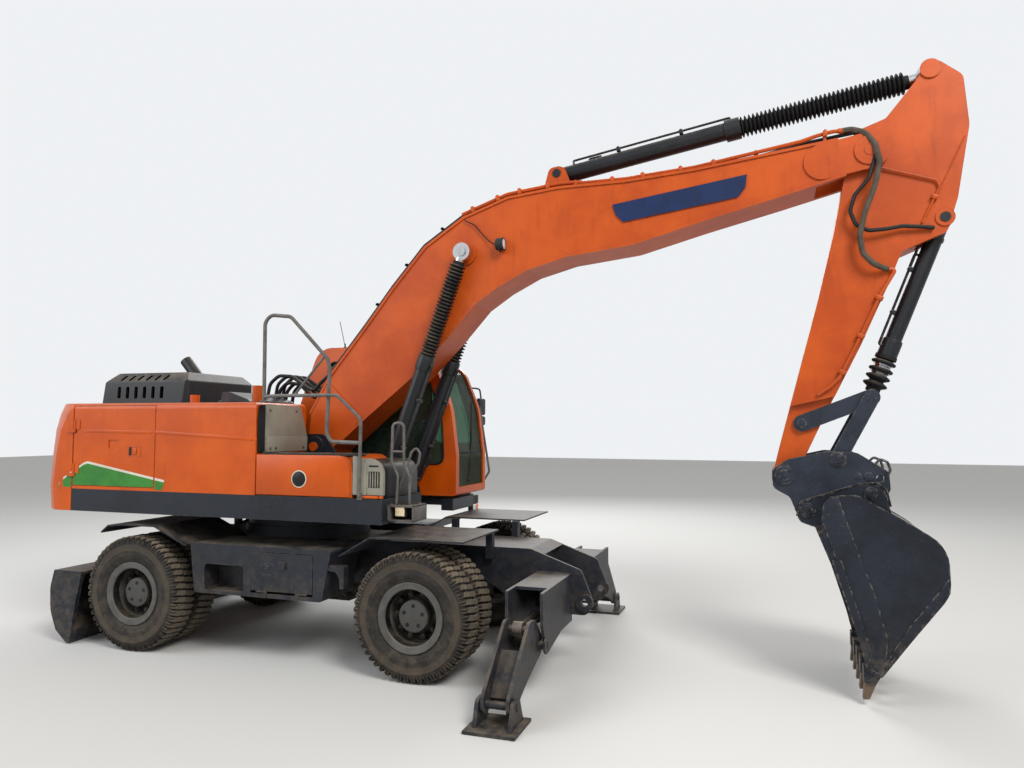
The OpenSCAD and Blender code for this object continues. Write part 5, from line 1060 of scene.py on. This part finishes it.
front = plate(arched(1.2145, 1.497, 1.512, 1.818, .135), 1, SIDE + .008, SIDE + .046, .006)
ring = plate(arched(1.21, 1.345, 1.512, 1.838, .12), 1, SIDE + .002, SIDE + .03, .006)
fit([front, ring], "front_cover", "upper", COVER_PAINT, angle=40)
# a dark body behind the grey cover, its front face dark as painted shade, and thin dark sheets as painted shade behind
# the louvres and in the slot above them
painted_shade_parts = [plate(arched(1.2145, 1.487, 1.486, 1.80, .125), 1, SIDE + .05, -.56, .004),
        plate(arched(1.36, 1.465, 1.575, 1.71, .012), 1, SIDE + .0065, SIDE + .0085, 0),
        block((1.362, SIDE + .0065, 1.748), (1.452, SIDE + .0085, 1.762), 0)]
fit(painted_shade_parts, "front_cover_inside_painted_shade", "upper", DARK_FILM_AND_PAINTED_SHADE, angle=40)
louvres = [block((x, SIDE + .002, 1.578), (x + .010, SIDE + .009, 1.705), .002) for x in
           (1.3725 + .0235 * k for k in range(4))]
fit(louvres, "front_cover_louvres", "upper", COVER_PAINT)
foot = [block((x0, y, 1.486), (x1, SIDE + .03, 1.5085), .003) for x0, x1, y in
        ((1.30, 1.452, SIDE - .001), (1.462, 1.49, SIDE + .001))]
fit(foot, "front_cover_foot", "upper", ORANGE)

# the grey plate and the black strip on the house's front wall, above the box
wall = plate([(-1.13, 1.85), (-.478, 1.85), (-.474, 2.0), (-.575, 2.262), (-.60, 2.276), (-1.13, 2.286)], 0, .2425,
             .258, .004)
fold = plate([(-1.128, 1.852), (-.480, 1.852), (-.476, 1.99), (-1.128, 2.0)], 0, .256, .266, .004)
fit([wall, fold], "front_wall_plate", "upper", COVER_PAINT)
fit(bolts([(.266, -1.07, 1.885), (.266, -.99, 1.885), (.266, -.55, 1.885), (.258, -1.07, 2.23), (.258, -.66, 2.23)],
          (1, 0, 0), .009), "front_wall_bolts", "upper", ZINC)
strip = plate([(-1.232, 1.85), (-1.132, 1.85), (-1.132, 2.28), (-1.20, 2.276), (-1.225, 2.24), (-1.236, 2.15)], 0,
              .2425, .2515, .003)
# anti-slip strips on the lid and on the deck above
grips = [strip] + [block((.33 + .2 * i, -1.17, 1.8475), (.45 + .2 * i, -.87, 1.8505), .001) for i in range(4)]
grips.append(block((-.12, -1.19, 2.2995), (.20, -.82, 2.3035), .001))
fit(grips, "deck_grip_strips", "upper", TREAD)


# ---------------------------------------------------------------- inside the cab

CAB_Y = .84
ARMREST = .30  # from the seat's middle to the middle of each arm rest
FILL_PRESSURE, FILL_FRAMES = 4, 20
CHANNEL_WIDTH, WELT_WIDTH, WELT_HEIGHT = .010, .006, .003


def stuffed(piece, name, cap=.016, voxel=.008, channels=(), welts=()):
    """Blows a block up into a cushion with a cloth simulation, then sews its channels and welts in.
    channels are (axis, place, depth); welts are (axis, place) of a raised seam."""
    modify(piece, "REMESH", mode="VOXEL", voxel_size=voxel)
    start = [v.co.copy() for v in piece.data.vertices]
    only(piece)
    cloth = piece.modifiers.new("filling", "CLOTH")
    cloth.settings.use_pressure = True
    cloth.settings.uniform_pressure_force = FILL_PRESSURE
    cloth.settings.effector_weights.gravity = 0
    for number in range(1, FILL_FRAMES + 1):
        bpy.context.scene.frame_set(number)
    bpy.ops.object.modifier_apply(modifier=cloth.name)
    bpy.context.scene.frame_set(1)
    for vertex, old in zip(piece.data.vertices, start):
        move = vertex.co - old
        if move.length > cap:
            vertex.co = old + move * (cap / move.length)
    normals = [v.normal.copy() for v in piece.data.vertices]
    for vertex, normal in zip(piece.data.vertices, normals):
        place = vertex.co - SLEW
        sink = sum(depth * math.exp(-((place[axis] - at) / CHANNEL_WIDTH) ** 2) for axis, at, depth in channels)
        rise = sum(WELT_HEIGHT * math.exp(-((place[axis] - at) / WELT_WIDTH) ** 2) for axis, at in welts)
        vertex.co += normal * (rise - sink)
    modify(piece, "SUBSURF", levels=1, render_levels=1)
    fit(piece, name, "upper", SEAT, 180)


def tilted(piece):
    """Leans a piece back like the monitor."""
    piece.data.transform(about((1.0, .64, 2.02), (0, 1, 0), -14))
    return piece


cushion = plate([(.075, 1.772), (.075, 1.852), (.58, 1.884), (.60, 1.815), (.56, 1.772)], 1, CAB_Y - .21, CAB_Y + .21,
                .018)
stuffed(cushion, "seat_cushion", channels=((1, CAB_Y - .135, .009), (1, CAB_Y + .135, .009), (0, .24, .007),
                                           (0, .40, .007)), welts=((1, CAB_Y - .205), (1, CAB_Y + .205)))
back = plate([(.055, 1.872), (-.06, 2.40), (.035, 2.42), (.165, 1.885)], 1, CAB_Y - .205, CAB_Y + .205, .02)
stuffed(back, "seat_back", channels=((1, CAB_Y - .13, .009), (1, CAB_Y + .13, .009), (2, 2.04, .007), (2, 2.22, .007)))
head = plate([(-.075, 2.45), (-.105, 2.57), (-.02, 2.585), (.012, 2.465)], 1, CAB_Y - .125, CAB_Y + .125, .02)
stuffed(head, "seat_headrest", .010, channels=((1, CAB_Y, .004),))
for side, word in ((-1, "right"), (1, "left")):
    y = CAB_Y + side * ARMREST
    rest = plate([(.06, 2.058), (.06, 2.088), (.38, 2.096), (.38, 2.064)], 1, y - .04, y + .04, .012)
    stuffed(rest, f"armrest_{word}", .007, .006)

inside_parts = [
    block((.07, CAB_Y - .20, 1.60), (.55, CAB_Y + .20, 1.70), .012),
    block((.10, CAB_Y - .18, 1.43), (.50, CAB_Y + .18, 1.60), .02),
    block((.05, CAB_Y - .215, 1.725), (.575, CAB_Y + .215, 1.768), .01),
    plate([(.02, 1.80), (-.10, 2.44), (-.085, 2.45), (.045, 1.80)], 1, CAB_Y - .17, CAB_Y + .17, .006),
]
inside_parts += [tube([(-.03, y, 2.40), (-.058, y, 2.52)], .007, 0) for y in (CAB_Y - .06, CAB_Y + .06)]
for side in (-1, 1):
    y = CAB_Y + side * ARMREST
    inside_parts.append(plate([(.05, 1.43), (.05, 2.03), (.40, 2.05), (.545, 2.045), (.55, 1.98), (.36, 1.80),
                               (.34, 1.43)], 1, y - .055, y + .055, .016))
    # a lever with its bellows, grip and button cap
    root = vec(.49, y, 2.045)
    pleats = [(.0, .0), (.036, .0)]
    for k in range(5):
        pleats += [(.036 - .004 * k, .006 + .012 * k), (.028 - .003 * k, .012 + .012 * k)]
    pleats += [(.012, .068), (.0, .07)]
    inside_parts.append(lathe(pleats, root, (0, 0, 1), 20))
    inside_parts.append(tube([root + vec(0, 0, .06), root + vec(.005, 0, .11), root + vec(.02, 0, .13)], .008, .02))
    inside_parts.append(lathe([(0, 0), (.014, 0), (.019, .02), (.017, .06), (.022, .085), (.02, .105), (.010, .112),
                               (0, .112)], root + vec(.018, 0, .115), (.25, 0, 1), 20))
    # switches on the right, buttons on the left
    for k in range(5):
        inside_parts.append(block((.16 + .05 * k, y - .03, 2.043), (.19 + .05 * k, y - .008, 2.052), .003) if side < 0
                            else drum((.41, y - .03 + .03 * (k % 2), 2.045), (.41, y - .03 + .03 * (k % 2), 2.055),
                                      .009, 12, .001))
column_foot = vec(.98, CAB_Y, 1.45)
lean = vec(-.309, 0, .951)
inside_parts += [
    plate([(.87, 1.43), (.93, 1.56), (1.06, 1.56), (1.10, 1.43)], 1, CAB_Y - .08, CAB_Y + .08, .012),
    drum(column_foot + lean * .05, column_foot + lean * .60, .038, 28, .004),
    drum(column_foot + lean * .56, column_foot + lean * .655, .062, 28, .014, .048),
    tube([column_foot + lean * .50 + vec(0, .03, 0), column_foot + lean * .54 + vec(0, .15, .02)], .007, 0),
]
hub = column_foot + lean * .655
wheel = made(bpy.ops.mesh.primitive_torus_add, major_radius=.185, minor_radius=.0125, major_segments=56,
             minor_segments=12)
wheel.rotation_mode = "QUATERNION"
wheel.rotation_quaternion = turned_to(lean)
wheel.location = SLEW + hub + lean * .02
inside_parts.append(settle(wheel))
across = vec(0, 1, 0)
ahead = lean.cross(across)
for turn in (0, 120, 240):
    a = math.radians(turn)
    ray = across * math.cos(a) + ahead * math.sin(a)
    inside_parts.append(tube([hub, hub + ray * .09 + lean * .006, hub + ray * .182 + lean * .02], .0085, .02))
inside_parts.append(drum(hub - lean * .01, hub + lean * .016, .045, 28, .006))
for y in (CAB_Y - .17, CAB_Y + .17):
    inside_parts.append(plate([(1.02, 1.435), (1.16, 1.50), (1.168, 1.488), (1.03, 1.43)], 1, y - .045, y + .045, .003))
    inside_parts.append(tube([(1.10, y, 1.47), (1.06, y, 1.60), (1.02, y, 1.68)], .007, .04))
inside_parts.append(tilted(block((.98, .555, 2.02), (1.02, .735, 2.15), .012, 3)))
inside_parts.append(tube([(1.0, .645, 2.03), (1.04, .62, 1.95), (1.10, .56, 1.90)], .012, .04))
fit(inside_parts, "cab_fittings", "upper", TRIM, 40, ("cab_interior",))
fit(tilted(block((.972, .57, 2.035), (.9785, .72, 2.135), .002)), "cab_monitor_screen", "upper", DARK_FILM_AND_PAINTED_SHADE)
mat = plate([(.16, .50), (1.16, .50), (1.22, .60), (1.22, 1.10), (1.16, 1.20), (.16, 1.20)], 2, 1.4275, 1.434, .002)
grooves = [block((.70 + .05 * k, .56, 1.433), (.72 + .05 * k, 1.12, 1.437), .001) for k in range(9)]
fit([mat] + grooves, "cab_floor_mat", "upper", TREAD)


# ---------------------------------------------------------------- outside of the cab

RIGHT, LEFT = .4095, 1.2705  # the cab's side walls, the right one on the boom's side


def seal_loop(points, y):
    """A rubber seal round a window opening in a side wall; points are (x, z) round the opening."""
    mids = [((a[0] + b[0]) / 2, (a[1] + b[1]) / 2) for a, b in zip(points, points[1:] + points[:1])]
    line = mids[-1:]
    for point, mid in zip(points, mids):
        line += [point, mid]
    return tube([(x, y, z) for x, z in line], .011, .10, 8, False)


seals = [
    seal_loop([(-.06, 1.70), (-.06, 2.79), (.78, 2.79), (1.14, 2.60), (1.30, 2.20), (1.33, 1.70)], RIGHT),
    seal_loop([(.83, 1.90), (.775, 2.60), (.84, 2.75), (1.13, 2.59), (1.26, 2.20), (1.315, 1.90)], LEFT),
]
fit(seals, "cab_window_seals", "upper", BLACK_RUBBER_AND_PAINTED_SHADE, angle=40)
antenna = [tube([(.12, .45, 2.945), (.11, .45, 3.0), (.05, .45, 3.245)], .0035, .05, 8),
           lathe([(0, 0), (.018, 0), (.016, .012), (.008, .02), (.006, .05), (0, .055)], (.12, .45, 2.945),
                 (0, 0, 1), 16)]
fit(antenna, "cab_antenna", "upper", BLACK_RUBBER_AND_PAINTED_SHADE, angle=40)


# ---------------------------------------------------------------- floor and light

floor = made(bpy.ops.mesh.primitive_plane_add, size=90, location=(0, 0, -.002))
floor.name = "studio_floor"
material, tree, shader, place = shader_of("pale floor")
fill(tree, shader, {"Base Color": (.62, .62, .61), "Roughness": .85})
floor.data.materials.append(material)

world = bpy.data.worlds.new("studio")
bpy.context.scene.world = world
world.use_nodes = True
tree = world.node_tree
soft = fill(tree, tree.nodes["Background"], {"Color": (1.0, .99, .97), "Strength": .52})
white = added(tree, "Background", {"Color": (.86, .88, .9), "Strength": 1.0})
path = added(tree, "LightPath", {})
seen = maths(tree, "MAXIMUM", path.outputs["Is Camera Ray"],
             maths(tree, "MAXIMUM", path.outputs["Is Glossy Ray"], path.outputs["Is Transmission Ray"]))
choose = added(tree, "MixShader", {0: seen, 1: soft.outputs[0], 2: white.outputs[0]})
fill(tree, tree.nodes["World Output"], {"Surface": choose.outputs[0]})


def lamp(name, at, aim_at, size, watts, colour):
    light = made(bpy.ops.object.light_add, type="AREA", location=at)
    light.name = name
    light.data.size = size
    light.data.energy = watts
    light.data.color = colour
    light.rotation_mode = "QUATERNION"
    light.rotation_quaternion = (Vector(aim_at) - Vector(at)).to_track_quat("-Z", "Y")


lamp("key light", (9, -9, 12), (0, 0, 1.5), 5, 1850, (1.0, .97, .93))
lamp("fill light", (-9, -8, 7), (-1, 0, 1.5), 8, 700, (.92, .96, 1.0))
lamp("back light", (-3, 11, 9), (0, 0, 2), 8, 900, (1.0, 1.0, 1.0))

deselect()
